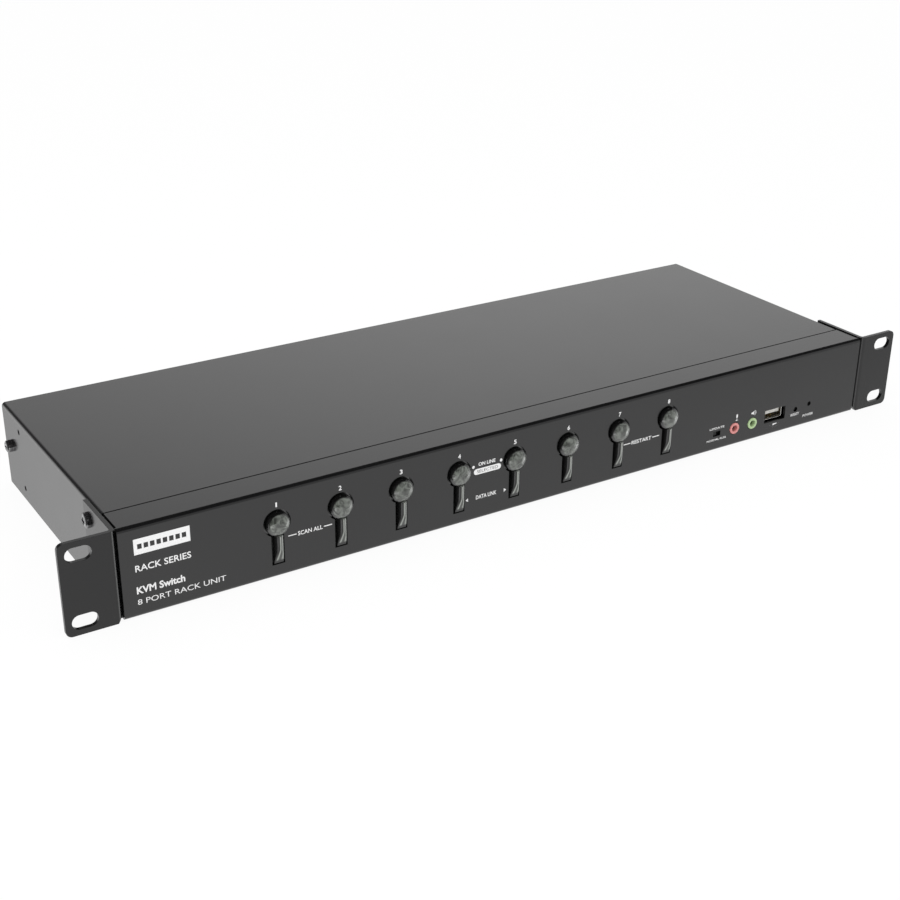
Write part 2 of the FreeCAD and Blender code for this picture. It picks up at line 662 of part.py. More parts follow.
HOST_USB_Z = "(upper_board_top + upper_row_lift + host_usb_height / 2)"
STACK_Z = "(upper_board_top + upper_row_lift + stack_height / 2)"
PANEL_INNER = "(%s - sheet_wall)" % REAR_FACE
POST_SIDES = (("Right", "1"), ("Left", "-1"))
POST_PITCH = "(video_width + 2 * (post_radius + post_clear))"
PLATE_WIDTH = "(%s + 2 * video_plate_margin)" % POST_PITCH


def build_rear_panel():
    """Back panel with a foot on the tray's floor and an opening for every socket."""
    body = new_body("RearPanel")
    section = outline(body, "RearSection", "YZ_Plane", (
        (REAR_FACE, "sheet_wall"),
        (REAR_FACE, "chassis_height - sheet_wall - rear_gap"),
        (PANEL_INNER, "chassis_height - sheet_wall - rear_gap"),
        (PANEL_INNER, "2 * sheet_wall"),
        (PANEL_INNER + " - rear_foot", "2 * sheet_wall"),
        (PANEL_INNER + " - rear_foot", "sheet_wall"),
    ))
    pad(body, section, "2 * (%s - sheet_wall - rear_gap)" % HALF_INSIDE, midplane=True)
    cut_depth = "sheet_wall * 4"

    def through(sketch):
        offset_sketch(sketch, "-" + REAR_FACE)
        return pocket(body, sketch, cut_depth, midplane=True)

    video = rectangle(body, "VideoOpening", "XZ_Plane", "%s - video_width / 2" % column_x(0),
                      "%s + video_width / 2" % column_x(0), "video_z - video_height / 2",
                      "video_z + video_height / 2")
    row_of(body, through(video), video, "column_pitch", COLUMN_COUNT)
    for side, sign in POST_SIDES:
        shank = circle(body, "PostHole" + side, "XZ_Plane", "%s + %s * %s / 2" % (column_x(0), sign, POST_PITCH),
                       "video_z", "post_shank + thread_fit")
        row_of(body, through(shank), shank, "column_pitch", COLUMN_COUNT)
    host = rectangle(body, "HostOpening", "XZ_Plane",
                     "%s + host_usb_offset - host_usb_size / 2 - usb_gap" % column_x(1),
                     "%s + host_usb_offset + host_usb_size / 2 + usb_gap" % column_x(1),
                     "%s - host_usb_height / 2 - usb_gap" % HOST_USB_Z,
                     "%s + host_usb_height / 2 + usb_gap" % HOST_USB_Z)
    row_of(body, through(host), host, "column_pitch", BUTTON_COUNT)
    for name, offset in (("RearMic", "rear_mic_offset"), ("RearSpeaker", "rear_speaker_offset")):
        hole = circle(body, name + "Hole", "XZ_Plane", "%s + %s" % (column_x(0), offset), "rear_jack_z",
                      "jack_collar + jack_gap")
        row_of(body, through(hole), hole, "column_pitch", COLUMN_COUNT)
    through(rectangle(body, "StackOpening", "XZ_Plane",
                      "%s + host_usb_offset - usb_width / 2 - usb_gap" % column_x(0),
                      "%s + host_usb_offset + usb_width / 2 + usb_gap" % column_x(0),
                      "%s - stack_height / 2 - usb_gap" % STACK_Z, "%s + stack_height / 2 + usb_gap" % STACK_Z))
    through(circle(body, "InletHole", "XZ_Plane", "power_in_x", "power_in_z", "power_in_bore + jack_gap"))
    through(circle(body, "GroundHole", "XZ_Plane", "ground_x", "ground_z", "screw_radius"))
    return node("rear_panel", body)


def build_rack_ear(label, sign):
    """Angle bracket: side flange against the cover, face across the front with two slots."""
    name = "".join(word.capitalize() for word in label.split("_"))
    body = new_body(name)
    inner = "chassis_width / 2"
    section = outline(body, name + "Section", "XY_Plane", (
        ("%s * (%s)" % (sign, inner), "-ear_proud"),
        ("%s * rack_width / 2" % sign, "-ear_proud"),
        ("%s * rack_width / 2" % sign, "-ear_proud + ear_wall"),
        ("%s * (%s + ear_wall)" % (sign, inner), "-ear_proud + ear_wall"),
        ("%s * (%s + ear_wall)" % (sign, inner), "ear_flange_end"),
        ("%s * (%s)" % (sign, inner), "ear_flange_end"),
    ))
    pad(body, section, "ear_height")
    round_edges(body, "ear_bend", lambda a, b: near(abs(a.x), inner) and near(abs(b.x), inner)
                and near(a.y, "-ear_proud") and near(b.y, "-ear_proud"))
    round_edges(body, "ear_bend - ear_wall", lambda a, b: near(abs(a.x), inner + " + ear_wall")
                and near(abs(b.x), inner + " + ear_wall") and near(a.y, "-ear_proud + ear_wall")
                and near(b.y, "-ear_proud + ear_wall"))
    round_edges(body, "ear_corner", lambda a, b: near(abs(a.x), "rack_width / 2")
                and near(abs(b.x), "rack_width / 2") and near(a.z, format(b.z, ".9f")))
    bevel = outline(body, name + "Relief", "XZ_Plane", (
        ("%s * (%s - ear_wall)" % (sign, inner), "-ear_wall"),
        ("%s * (%s + ear_relief)" % (sign, inner), "-ear_wall"),
        ("%s * (%s + ear_relief)" % (sign, inner), "0"),
        ("%s * (%s)" % (sign, inner), "ear_relief_rise"),
        ("%s * (%s - ear_wall)" % (sign, inner), "ear_relief_rise"),
    ))
    pocket(body, bevel, "2 * ear_bend", midplane=True)
    for place_name, height in (("High", "(ear_height + slot_pitch_z) / 2"), ("Low", "(ear_height - slot_pitch_z) / 2")):
        slot = obround(body, name + "Slot" + place_name, "XZ_Plane", "%s * slot_pitch_x / 2" % sign, height,
                       "slot_length", "slot_radius")
        pocket(body, slot, "ear_wall * 4", midplane=True)
    for hole_name, along, up in EAR_SCREWS:
        hole = circle(body, name + hole_name, "YZ_Plane", along, up, "screw_radius + thread_fit")
        offset_sketch(hole, "%s * (%s + ear_wall / 2)" % (sign, inner))
        pocket(body, hole, "ear_wall * 2", midplane=True)
    return node(label, body)


def side_screw(name, sign, face, along, up, radius, rise):
    """Pan-head screw whose head sits on an outer side face, with a cross recess."""
    outward = {"1": "X", "-1": "-X"}[sign]
    head = rod(name + "Head", radius, rise, "%s * (%s)" % (sign, face), along, up, outward)
    inward = {"1": "-X", "-1": "X"}[sign]
    shank = rod(name + "Shank", "screw_radius", "screw_grip", "%s * (%s)" % (sign, face), along, up, inward)
    solid = union(name + "Solid", [head, shank])
    mouth = "%s * (%s + %s) - recess_depth" % (sign, face, rise)
    upright = block(name + "Upright", "recess_depth * 2", "recess_radius * 2", "recess_arm * 2",
                    mouth, "%s - recess_radius" % along, "%s - recess_arm" % up)
    level = block(name + "Level", "recess_depth * 2", "recess_arm * 2", "recess_radius * 2",
                  mouth, "%s - recess_arm" % along, "%s - recess_radius" % up)
    return minus(name, solid, [upright, level])


def build_case_screws():
    """Screws of the ears and of the cover, and the earthing screw on the back."""
    ear_face = "chassis_width / 2 + ear_wall"
    ear_screws = [side_screw(name + side, sign, ear_face, along, up, "ear_head_radius", "screw_head_rise")
                  for side, sign in SIDES for name, along, up in EAR_SCREWS]
    node("ear_screws", group("EarScrews", ear_screws))
    cover_screws = [side_screw("Cover" + side, sign, "chassis_width / 2", "cover_screw_y", "cover_screw_z",
                               "screw_head_radius", "cover_screw_rise") for side, sign in SIDES]
    node("cover_screws", group("CoverScrews", cover_screws))
    washer = rod("GroundWasher", "ground_washer", "ground_washer_wall", "ground_x", REAR_FACE, "ground_z")
    head = rod("GroundHead", "ground_head", "ground_rise", "ground_x", REAR_FACE + " + ground_washer_wall",
               "ground_z")
    shank = rod("GroundShank", "screw_radius", "screw_grip + ground_rise", "ground_x",
                REAR_FACE + " - screw_grip", "ground_z")
    solid = union("GroundSolid", [washer, head, shank])
    mouth = REAR_FACE + " + ground_washer_wall + ground_rise - recess_depth"
    upright = centred_block("GroundUpright", "recess_radius * 2", "recess_depth * 2", "recess_arm * 3",
                            "ground_x", mouth, "ground_z")
    level = centred_block("GroundLevel", "recess_arm * 3", "recess_depth * 2", "recess_radius * 2",
                          "ground_x", mouth, "ground_z")
    node("ground_screw", minus("GroundScrew", solid, [upright, level]))


# ---------------------------------------------------------------------------------------------
# Port buttons
# ---------------------------------------------------------------------------------------------

FLANGE_FRONT = "(sheet_wall + flange_gap)"
FLANGE_BACK = "(sheet_wall + flange_gap + flange_wall)"
SWITCH_FRONT = "(%s + button_travel + switch_front_gap)" % FLANGE_BACK
BOARD_FRONT = "(%s + switch_depth)" % SWITCH_FRONT
DOME_RADIUS = "((cap_radius ^ 2 + dome_rise ^ 2) / (2 * dome_rise))"
STEM_TOP = "(button_z - cap_radius / 2)"


def stem_bar(name, number, half_width, low, start, end):
    """Straight bar of the stem between two depths, from its lower end up under the cap."""
    return block(name, "2 * (%s)" % half_width, "%s - (%s)" % (end, start), "%s - (%s)" % (STEM_TOP, low),
                 "%s - (%s)" % (button_x(number), half_width), start, low)


def build_port_button(number):
    """Round domed cap with its retaining flange and the post that works the key switch."""
    tag = "Button%d" % number
    x = button_x(number)
    neck = rod(tag + "Neck", "cap_radius", "cap_rim + " + FLANGE_BACK, x, "-cap_rim", "button_z")
    ball = doc.addObject("Part::Sphere", tag + "Ball")
    drive(ball, "Radius", DOME_RADIUS)
    place(ball, x, "-cap_rim - dome_rise + " + DOME_RADIUS, "button_z")
    limit = rod(tag + "Limit", "cap_radius", "dome_rise * 2", x, "-cap_rim - dome_rise * 2", "button_z")
    dome = overlap(tag + "Dome", ball, limit)
    flange = rod(tag + "Flange", "cap_radius + flange_margin", "flange_wall", x, FLANGE_FRONT, "button_z")
    tail = stem_bar(tag + "Tail", number, "stem_radius + flange_margin", "stem_end_z - flange_margin",
                    FLANGE_FRONT, FLANGE_BACK)
    post = rod(tag + "Post", "actuator_radius", "%s + actuator_reach - %s" % (SWITCH_FRONT, FLANGE_BACK),
               x, FLANGE_BACK, "button_z")
    solid = union(tag + "Solid", [neck, dome, flange, tail, post])
    window = stem_bar(tag + "Window", number, "stem_radius", "stem_end_z", FLANGE_FRONT + " - flange_gap",
                      FLANGE_BACK + " + flange_gap")
    keep = rod(tag + "Keep", "cap_radius", "flange_wall * 4", x, FLANGE_FRONT + " - flange_wall", "button_z")
    cut_window = minus(tag + "Slot", window, [keep])
    return node("port_button_%d" % number, minus(tag + "Cap", solid, [cut_window]))


def build_link_lens(number):
    """Half-round light guide below the cap, with its lower end cut on a slant."""
    tag = "Lens%d" % number
    x = button_x(number)
    length = "%s - stem_end_z" % STEM_TOP
    foot = stem_bar(tag + "Foot", number, "stem_radius", "stem_end_z", "-stem_base",
                    FLANGE_BACK + " + lens_tail")
    ridge = rod(tag + "Ridge", "stem_radius", length, x, "-stem_base", "stem_end_z", "Z")
    solid = union(tag + "Solid", [foot, ridge])
    cap_space = rod(tag + "CapSpace", "cap_radius", "chassis_height", x, "-chassis_height / 2", "button_z")
    wedge = doc.addObject("Part::Wedge", tag + "Wedge")
    drive(wedge, "Xmin", "0")
    drive(wedge, "Xmax", "2 * (stem_radius + button_gap)")
    drive(wedge, "X2min", "0")
    drive(wedge, "X2max", "2 * (stem_radius + button_gap)")
    drive(wedge, "Ymin", "0")
    drive(wedge, "Ymax", "stem_radius + button_gap")
    drive(wedge, "Zmin", "0")
    drive(wedge, "Zmax", "stem_ramp * (stem_radius + button_gap) / stem_radius")
    drive(wedge, "Z2min", "0")
    drive(wedge, "Z2max", "0")
    place(wedge, "%s - stem_radius - button_gap" % x, "-stem_base - stem_radius - button_gap", "stem_end_z")
    return node("link_lens_%d" % number, minus(tag + "Guide", solid, [cap_space, wedge]))


def build_selector_board():
    """Upright board behind the buttons with its switches, lamps and posts."""
    length = "selector_right - selector_left"
    board = block("SelectorPlate", length, "board_wall", "selector_high - selector_low",
                  "selector_left", BOARD_FRONT, "selector_low")
    spacer_places = ["%s + button_pitch / 2" % button_x(number) for number in (1, 3, 5, 7)]
    holes = [rod("SelectorHole%d" % index, "board_screw_shank", "board_wall * 3", x,
                 BOARD_FRONT + " - board_wall", "spacer_z") for index, x in enumerate(spacer_places)]
    node("selector_board", minus("SelectorBoard", board, holes))
    spacers = []
    screws = []
    for index, x in enumerate(spacer_places):
        post = rod("Spacer%d" % index, "spacer_radius", BOARD_FRONT + " - sheet_wall", x, "sheet_wall", "spacer_z")
        bore = rod("SpacerBore%d" % index, "board_screw_shank", "board_screw_grip", x,
                   BOARD_FRONT + " + board_wall - board_screw_grip", "spacer_z")
        spacers.append(minus("SpacerPost%d" % index, post, [bore]))
        head = rod("SelectorHead%d" % index, "board_screw_head", "board_screw_rise", x,
                   BOARD_FRONT + " + board_wall", "spacer_z")
        shank = rod("SelectorShank%d" % index, "board_screw_shank", "board_screw_grip", x,
                    BOARD_FRONT + " + board_wall - board_screw_grip", "spacer_z")
        screws.append(union("SelectorScrew%d" % index, [head, shank]))
    node("selector_spacers", group("SelectorSpacers", spacers))
    housings = []
    lamps = []
    for number in BUTTON_NUMBERS:
        x = button_x(number)
        shell = centred_block("Key%d" % number, "switch_size", "switch_depth", "switch_size", x,
                              SWITCH_FRONT, "button_z")
        bore = rod("KeyBore%d" % number, "actuator_radius + actuator_fit",
                   "actuator_reach + button_travel + actuator_fit * 4", x, SWITCH_FRONT, "button_z")
        housings.append(minus("KeySwitch%d" % number, shell, [bore]))
        for name, height in (("High", "button_z + led_offset"), ("Low", "stem_led_z")):
            lamps.append(centred_block("Lamp%s%d" % (name, number), "led_width", "led_rise", "led_height", x,
                                       BOARD_FRONT + " - led_rise", height))
    node("key_switches", group("KeySwitches", housings))
    node("link_leds", group("LinkLeds", lamps))
    return screws


# ---------------------------------------------------------------------------------------------
# Small controls and sockets at the front
# ---------------------------------------------------------------------------------------------

PORT_BOARD_Z = "(port_board_top - board_wall)"


def build_front_port_board():
    """Board that carries the front sockets, on four posts."""
    places = [(x, y) for x in ("port_board_left + board_screw_head * 2", "port_board_right - board_screw_head * 2")
              for y in ("port_board_back - board_screw_head * 2", "port_board_front + board_screw_head * 6")]
    plate = block("PortPlate", "port_board_right - port_board_left", "port_board_back - port_board_front",
                  "board_wall", "port_board_left", "port_board_front", PORT_BOARD_Z)
    holes = [rod("PortHole%d" % index, "board_screw_shank", "board_wall * 3", x, y,
                 PORT_BOARD_Z + " - board_wall", "Z") for index, (x, y) in enumerate(places)]
    node("front_port_board", minus("PortBoard", plate, holes))
    return places


def build_firmware_switch():
    """Two-position slide switch behind the front wall."""
    inner_width = "knob_width + slider_travel + 2 * (slider_margin + knob_gap)"
    inner_height = "knob_height + 2 * (slider_margin + knob_gap)"
    cavity_front = "slider_body_front"
    shell = centred_block("SliderShell", inner_width + " + 2 * slider_body_wall", "slider_body_depth",
                          inner_height + " + 2 * slider_body_wall", "slider_x", cavity_front, "slider_z")
    room = centred_block("SliderRoom", inner_width, "slider_base + 2 * knob_gap", inner_height, "slider_x",
                         cavity_front + " + slider_body_wall", "slider_z")
    mouth = centred_block("SliderMouth", "knob_width + slider_travel + 2 * knob_gap", "slider_body_wall * 3",
                          "knob_height + 2 * knob_gap", "slider_x", cavity_front + " - slider_body_wall",
                          "slider_z")
    node("firmware_switch_body", minus("SliderBody", shell, [room, mouth]))
    rest_x = "(slider_x - slider_travel / 2)"
    carrier_front = "(slider_body_front + slider_body_wall + knob_gap)"
    knob = centred_block("Knob", "knob_width", carrier_front + " - knob_recess", "knob_height", rest_x,
                         "knob_recess", "slider_z")
    carrier = centred_block("Carrier", "knob_width + 2 * slider_margin", "slider_base",
                            "knob_height + 2 * slider_margin", rest_x, carrier_front, "slider_z")
    node("firmware_slider", union("FirmwareSlider", [knob, carrier]))


def audio_socket(name, x, face, z, collar_start, direction):
    """Round collar on a square body with a bore for the plug; direction is 1 at the front."""
    if direction > 0:
        collar = rod(name + "Collar", "jack_collar", "%s - (%s)" % (face, collar_start), x, collar_start, z)
        shell = centred_block(name + "Shell", "jack_width", "jack_depth", "jack_height", x, face, z)
        bore = rod(name + "Bore", "jack_bore", "jack_bore_depth", x, collar_start, z)
    else:
        collar = rod(name + "Collar", "jack_collar", "%s - (%s)" % (collar_start, face), x, face, z)
        shell = centred_block(name + "Shell", "jack_width", "jack_depth", "jack_height", x,
                              face + " - jack_depth", z)
        bore = rod(name + "Bore", "jack_bore", "jack_bore_depth", x, collar_start + " - jack_bore_depth", z)
    return minus(name, union(name + "Solid", [collar, shell]), [bore])


def flat_data_shell(name, x, start, z, height, mouths, toward_back):
    """Folded metal shell of one or two flat data sockets, closed at its inner end."""
    shell = centred_block(name + "Outside", "usb_width", "usb_depth", height, x, start, z)
    rooms = []
    mouth_height = "(%s - usb_wall * %d) / %d" % (height, mouths + 1, mouths)
    for index in range(mouths):
        low = "%s - (%s) / 2 + usb_wall + (%s + usb_wall) * %d" % (z, height, mouth_height, index)
        room_start = start + " + usb_wall" if toward_back else start
        rooms.append(block(name + "Room%d" % index, "usb_width - 2 * usb_wall", "usb_depth - usb_wall",
                           mouth_height, "%s - usb_width / 2 + usb_wall" % x, room_start, low))
    return minus(name, shell, rooms)


def build_front_sockets():
    """Audio sockets and the flat data socket on the front port board."""
    for label, name, x in (("mic_jack", "MicJack", "mic_x"), ("speaker_jack", "SpeakerJack", "speaker_x")):
        node(label, audio_socket(name, x, "jack_front", "jack_z", "-jack_proud", 1))
    shell = flat_data_shell("DataBox", "usb_x", "usb_recess", "usb_z", "usb_height", 1, False)
    legs = [block("DataLeg" + side, "usb_leg", "usb_leg * 2",
                  "usb_z - usb_height / 2 - port_board_top + usb_wall / 2",
                  "usb_x + %s * (usb_width / 2 - usb_leg) - usb_leg / 2" % sign,
                  "usb_recess + usb_depth / 2", "port_board_top") for side, sign in SIDES]
    node("front_usb_shell", union("DataShell", [shell] + legs))
    blade = centred_block("DataBlade", "tongue_width", "usb_depth - usb_wall - tongue_recess", "tongue_height",
                          "usb_x", "usb_recess + tongue_recess", "usb_z + tongue_lift")
    root = centred_block("DataRoot", "tongue_width", "tongue_root", "usb_height - 2 * usb_wall", "usb_x",
                         "usb_recess + usb_depth - usb_wall - tongue_root", "usb_z")
    node("front_usb_tongue", union("DataTongue", [blade, root]))


def build_reset_and_power():
    """Recessed reset plunger with its switch, and the power lamp."""
    neck = rod("ResetNeck", "reset_plunger", "reset_body_front - reset_recess - reset_travel - thread_fit * 4",
               "reset_x", "reset_recess", "reset_z")
    disc_back = "(reset_body_front - reset_travel - thread_fit * 4)"
    disc = rod("ResetDisc", "reset_collar", "reset_collar_wall", "reset_x",
               disc_back + " - reset_collar_wall", "reset_z")
    post = rod("ResetPost", "reset_post", "reset_post_length + reset_body_front - " + disc_back, "reset_x",
               disc_back, "reset_z")
    node("reset_button", union("ResetButton", [neck, disc, post]))
    housing = centred_block("ResetHousing", "reset_body", "reset_body_depth", "reset_body", "reset_x",
                            "reset_body_front", "reset_z")
    bore = rod("ResetBore", "reset_post + actuator_fit", "reset_post_length + reset_travel + actuator_fit * 4",
               "reset_x", "reset_body_front", "reset_z")
    leg = centred_block("ResetLegs", "reset_body", "reset_body_depth / 4",
                        "reset_z - reset_body / 2 - port_board_top", "reset_x",
                        "reset_body_front + reset_body_depth / 2",
                        "(reset_z - reset_body / 2 + port_board_top) / 2")
    node("reset_switch_body", union("ResetSwitch", [minus("ResetShell", housing, [bore]), leg]))
    lens = rod("PowerLens", "power_lens", "power_body", "power_x", "power_recess", "power_z")
    collar = rod("PowerCollar", "power_flange", "power_body / 2", "power_x",
                 "power_recess + power_body / 2", "power_z")
    leads = [block("PowerLead" + side, "power_lead", "power_lead", "power_z - port_board_top",
                   "power_x + %s * power_lens / 2 - power_lead / 2" % sign,
                   "power_recess + power_body - power_lead", "port_board_top") for side, sign in SIDES]
    node("power_led", union("PowerLed", [lens, collar] + leads))


# ---------------------------------------------------------------------------------------------
# Sockets on the back
# ---------------------------------------------------------------------------------------------

VIDEO_MOUTH = "(%s + video_reach)" % REAR_FACE


def video_outline(name, x, depth, start, shrink):
    """Shell shape of a video socket: a box narrower at the bottom, as a prism along Y."""
    wedge = doc.addObject("Part::Wedge", name)
    drive(wedge, "Xmin", "video_taper")
    drive(wedge, "Xmax", "video_width - 2 * (%s) - video_taper" % shrink)
    drive(wedge, "Zmin", "0")
    drive(wedge, "Zmax", depth)
    drive(wedge, "X2min", "0")
    drive(wedge, "X2max", "video_width - 2 * (%s)" % shrink)
    drive(wedge, "Z2min", "0")
    drive(wedge, "Z2max", depth)
    drive(wedge, "Ymin", "0")
    drive(wedge, "Ymax", "video_height - 2 * (%s)" % shrink)
    wedge.Placement = FreeCAD.Placement(FreeCAD.Vector(), FreeCAD.Rotation(FreeCAD.Vector(1, 0, 0), 90))
    return place(wedge, "%s - video_width / 2 + %s" % (x, shrink), "%s + %s" % (start, depth),
                 "video_z - video_height / 2 + %s" % shrink)


def contact_holes(name, x):
    """Three rows of contact holes and one blade slot in the face of a video socket."""
    columns = 8
    rows = 3
    depth = "video_reach / 2"
    mouth = VIDEO_MOUTH + " - video_insert_recess - " + depth
    holes = []
    for row in range(rows):
        for column in range(columns):
            across = "%s - video_width / 5 + pin_pitch * %s" % (x, column - (columns - 1) / 2 + 0.5)
            up = "video_z + pin_pitch * %d" % (row - 1)
            holes.append(rod("%sHole%d_%d" % (name, row, column), "pin_hole", depth + " * 2", across, mouth, up))
    holes.append(centred_block(name + "Blade", "video_blade_width", depth + " * 2", "video_blade_height",
                               "%s + video_width / 3" % x, mouth, "video_z"))
    return holes


def build_video_sockets():
    """Video sockets on the main board: metal shells, insulators and screw posts."""
    shells = []
    inserts = []
    posts = []
    for column in COLUMNS:
        x = column_x(column)
        tag = "Video%d" % column
        plate = centred_block(tag + "Plate", PLATE_WIDTH, "video_plate_wall", "video_plate_height", x,
                              PANEL_INNER + " - video_plate_wall", "video_z")
        outside = video_outline(tag + "Outside", x, "video_reach + sheet_wall + video_plate_wall",
                                PANEL_INNER + " - video_plate_wall", "0")
        inside = video_outline(tag + "Inside", x, "video_reach * 2 + sheet_wall + video_plate_wall",
                               PANEL_INNER + " - 2 * video_plate_wall", "video_wall")
        shanks = [rod(tag + "Shank" + side, "post_shank", "video_plate_wall * 3",
                      "%s + %s * %s / 2" % (x, sign, POST_PITCH), PANEL_INNER + " - video_plate_wall * 2",
                      "video_z")
                  for side, sign in SIDES]
        shells.append(minus(tag + "Shell", union(tag + "Metal", [plate, outside]), [inside] + shanks))
        filling = video_outline(tag + "Filling", x,
                                "video_reach + sheet_wall + video_plate_wall - video_insert_recess",
                                PANEL_INNER + " - video_plate_wall", "video_wall")
        back = block(tag + "Back", PLATE_WIDTH + " * 3 / 4", "video_body_depth",
                     "video_z + video_plate_height / 2 - main_top", "%s - %s * 3 / 8" % (x, PLATE_WIDTH),
                     PANEL_INNER + " - video_plate_wall - video_body_depth", "main_top")
        inserts.append(minus(tag + "Insert", union(tag + "Plastic", [filling, back]), contact_holes(tag, x)))
        for side, sign in SIDES:
            across = "%s + %s * %s / 2" % (x, sign, POST_PITCH)
            hexagon = doc.addObject("Part::Prism", tag + "Hexagon" + side)
            hexagon.Polygon = 6
            drive(hexagon, "Circumradius", "post_radius")
            drive(hexagon, "Height", "post_length")
            hexagon.Placement = FreeCAD.Placement(FreeCAD.Vector(), TURNS["Y"])
            place(hexagon, across, REAR_FACE, "video_z")
            stud = rod(tag + "Stud" + side, "post_shank", "sheet_wall + video_plate_wall", across,
                       PANEL_INNER + " - video_plate_wall", "video_z")
            bore = rod(tag + "Thread" + side, "post_bore", "post_bore_depth * 2", across,
                       REAR_FACE + " + post_length - post_bore_depth", "video_z")
            posts.append(minus(tag + "Post" + side, union(tag + "Solid" + side, [hexagon, stud]), [bore]))
    node("video_shells", group("VideoShells", shells))
    node("video_inserts", group("VideoInserts", inserts))
    node("hex_posts", group("HexPosts", posts))


def build_host_data_sockets():
    """Square data sockets to the computers, with cut upper corners."""
    shells = []
    inserts = []
    start = REAR_FACE + " - host_usb_depth"
    for column in COMPUTER_COLUMNS:
        x = "(%s + host_usb_offset)" % column_x(column)
        tag = "Host%d" % column
        outside = centred_block(tag + "Outside", "host_usb_size", "host_usb_depth", "host_usb_height", x, start,
                                HOST_USB_Z)
        inside = centred_block(tag + "Inside", "host_usb_size - 2 * host_usb_wall", "host_usb_depth",
                               "host_usb_height - 2 * host_usb_wall", x, start + " + host_usb_wall", HOST_USB_Z)
        shells.append(minus(tag + "Shell", outside, [inside]))
        chin = centred_block(tag + "Tongue", "host_tongue_width", "host_usb_depth * 3 / 4", "host_tongue_height",
                             x, start + " + host_usb_wall", HOST_USB_Z)
        root = centred_block(tag + "Root", "host_usb_size - 2 * host_usb_wall", "tongue_root",
                             "host_usb_height - 2 * host_usb_wall", x, start + " + host_usb_wall", HOST_USB_Z)
        ledges = []
        for side, sign in SIDES:
            ledge = doc.addObject("Part::Wedge", tag + "Ledge" + side)
            drive(ledge, "Xmin", "0" if side == "Left" else "-host_usb_chamfer")
            drive(ledge, "Xmax", "host_usb_chamfer" if side == "Left" else "0")
            drive(ledge, "X2min", "0")
            drive(ledge, "X2max", "0")
            drive(ledge, "Ymin", "0")
            drive(ledge, "Ymax", "host_usb_chamfer")
            for prop, text in (("Zmin", "0"), ("Zmax", "host_usb_depth - 2 * host_usb_wall"), ("Z2min", "0"),
                               ("Z2max", "host_usb_depth - 2 * host_usb_wall")):
                drive(ledge, prop, text)
            ledge.Placement = FreeCAD.Placement(FreeCAD.Vector(), FreeCAD.Rotation(FreeCAD.Vector(1, 0, 0), -90))
            place(ledge, "%s + %s * (host_usb_size / 2 - host_usb_wall)" % (x, sign), start + " + host_usb_wall",
                  HOST_USB_Z + " + host_usb_height / 2 - host_usb_wall")
            ledges.append(ledge)
        inserts.append(union(tag + "Insert", [chin, root] + ledges))
    node("usb_host_shells", group("HostShells", shells))
    node("usb_host_inserts", group("HostInserts", inserts))


def build_rear_audio():
    """Audio sockets of every column."""
    for label, name, offset in (("rear_mic_jacks", "BackMic", "rear_mic_offset"),
                                ("rear_speaker_jacks", "BackSpeaker", "rear_speaker_offset")):
        sockets = [audio_socket("%s%d" % (name, column), "(%s + %s)" % (column_x(column), offset),
                                PANEL_INNER + " - jack_gap", "rear_jack_z", "%s + jack_proud" % REAR_FACE, -1)
                   for column in COLUMNS]
        node(label, group(name, sockets))


def build_console_and_power():
    """Double data socket of the console, and the power inlet."""
    x = "(%s + host_usb_offset)" % column_x(0)
    start = REAR_FACE + " - usb_depth"
    node("console_usb_shell", flat_data_shell("StackShell", x, start, STACK_Z, "stack_height", 2, True))
    room = "((stack_height - 3 * usb_wall) / 2)"
    tongues = []
    for index, sign in enumerate(("-1", "1")):
        middle = "%s + %s * (%s + usb_wall) / 2" % (STACK_Z, sign, room)
        blade = centred_block("StackBlade%d" % index, "tongue_width",
                              "usb_depth - usb_wall - tongue_recess", "tongue_height", x,
                              start + " + usb_wall", middle + " + tongue_lift")
        root = centred_block("StackRoot%d" % index, "tongue_width", "tongue_root", room, x,
                             start + " + usb_wall", middle)
        tongues.append(union("StackTongue%d" % index, [blade, root]))
    node("console_usb_tongues", group("StackTongues", tongues))
    shell = centred_block("InletShell", "power_in_size", "power_in_depth", "power_in_size", "power_in_x",
                          PANEL_INNER + " - power_in_depth", "power_in_z")
    foot = block("InletFoot", "power_in_size", "power_in_depth / 2", "power_in_z - power_in_size / 2 - main_top",
                 "power_in_x - power_in_size / 2", PANEL_INNER + " - power_in_depth", "main_top")
    bore = rod("InletBore", "power_in_bore", "power_in_bore_depth * 2", "power_in_x",
               PANEL_INNER + " - power_in_bore_depth", "power_in_z")
    node("power_inlet", minus("PowerInlet", union("InletSolid", [shell, foot]), [bore]))
    pin = rod("InletPin", "power_in_pin", "power_in_bore_depth - power_in_pin_inset", "power_in_x",
              PANEL_INNER + " - power_in_bore_depth", "power_in_z")
    node("power_inlet_pin", group("PowerPin", [pin]))


# ---------------------------------------------------------------------------------------------
# Boards and what they carry
# ---------------------------------------------------------------------------------------------

MAIN_Z = "(main_top - board_wall)"
UPPER_Z = "(upper_board_top - board_wall)"
BOARD_BACK = "(%s - board_back_gap)" % PANEL_INNER


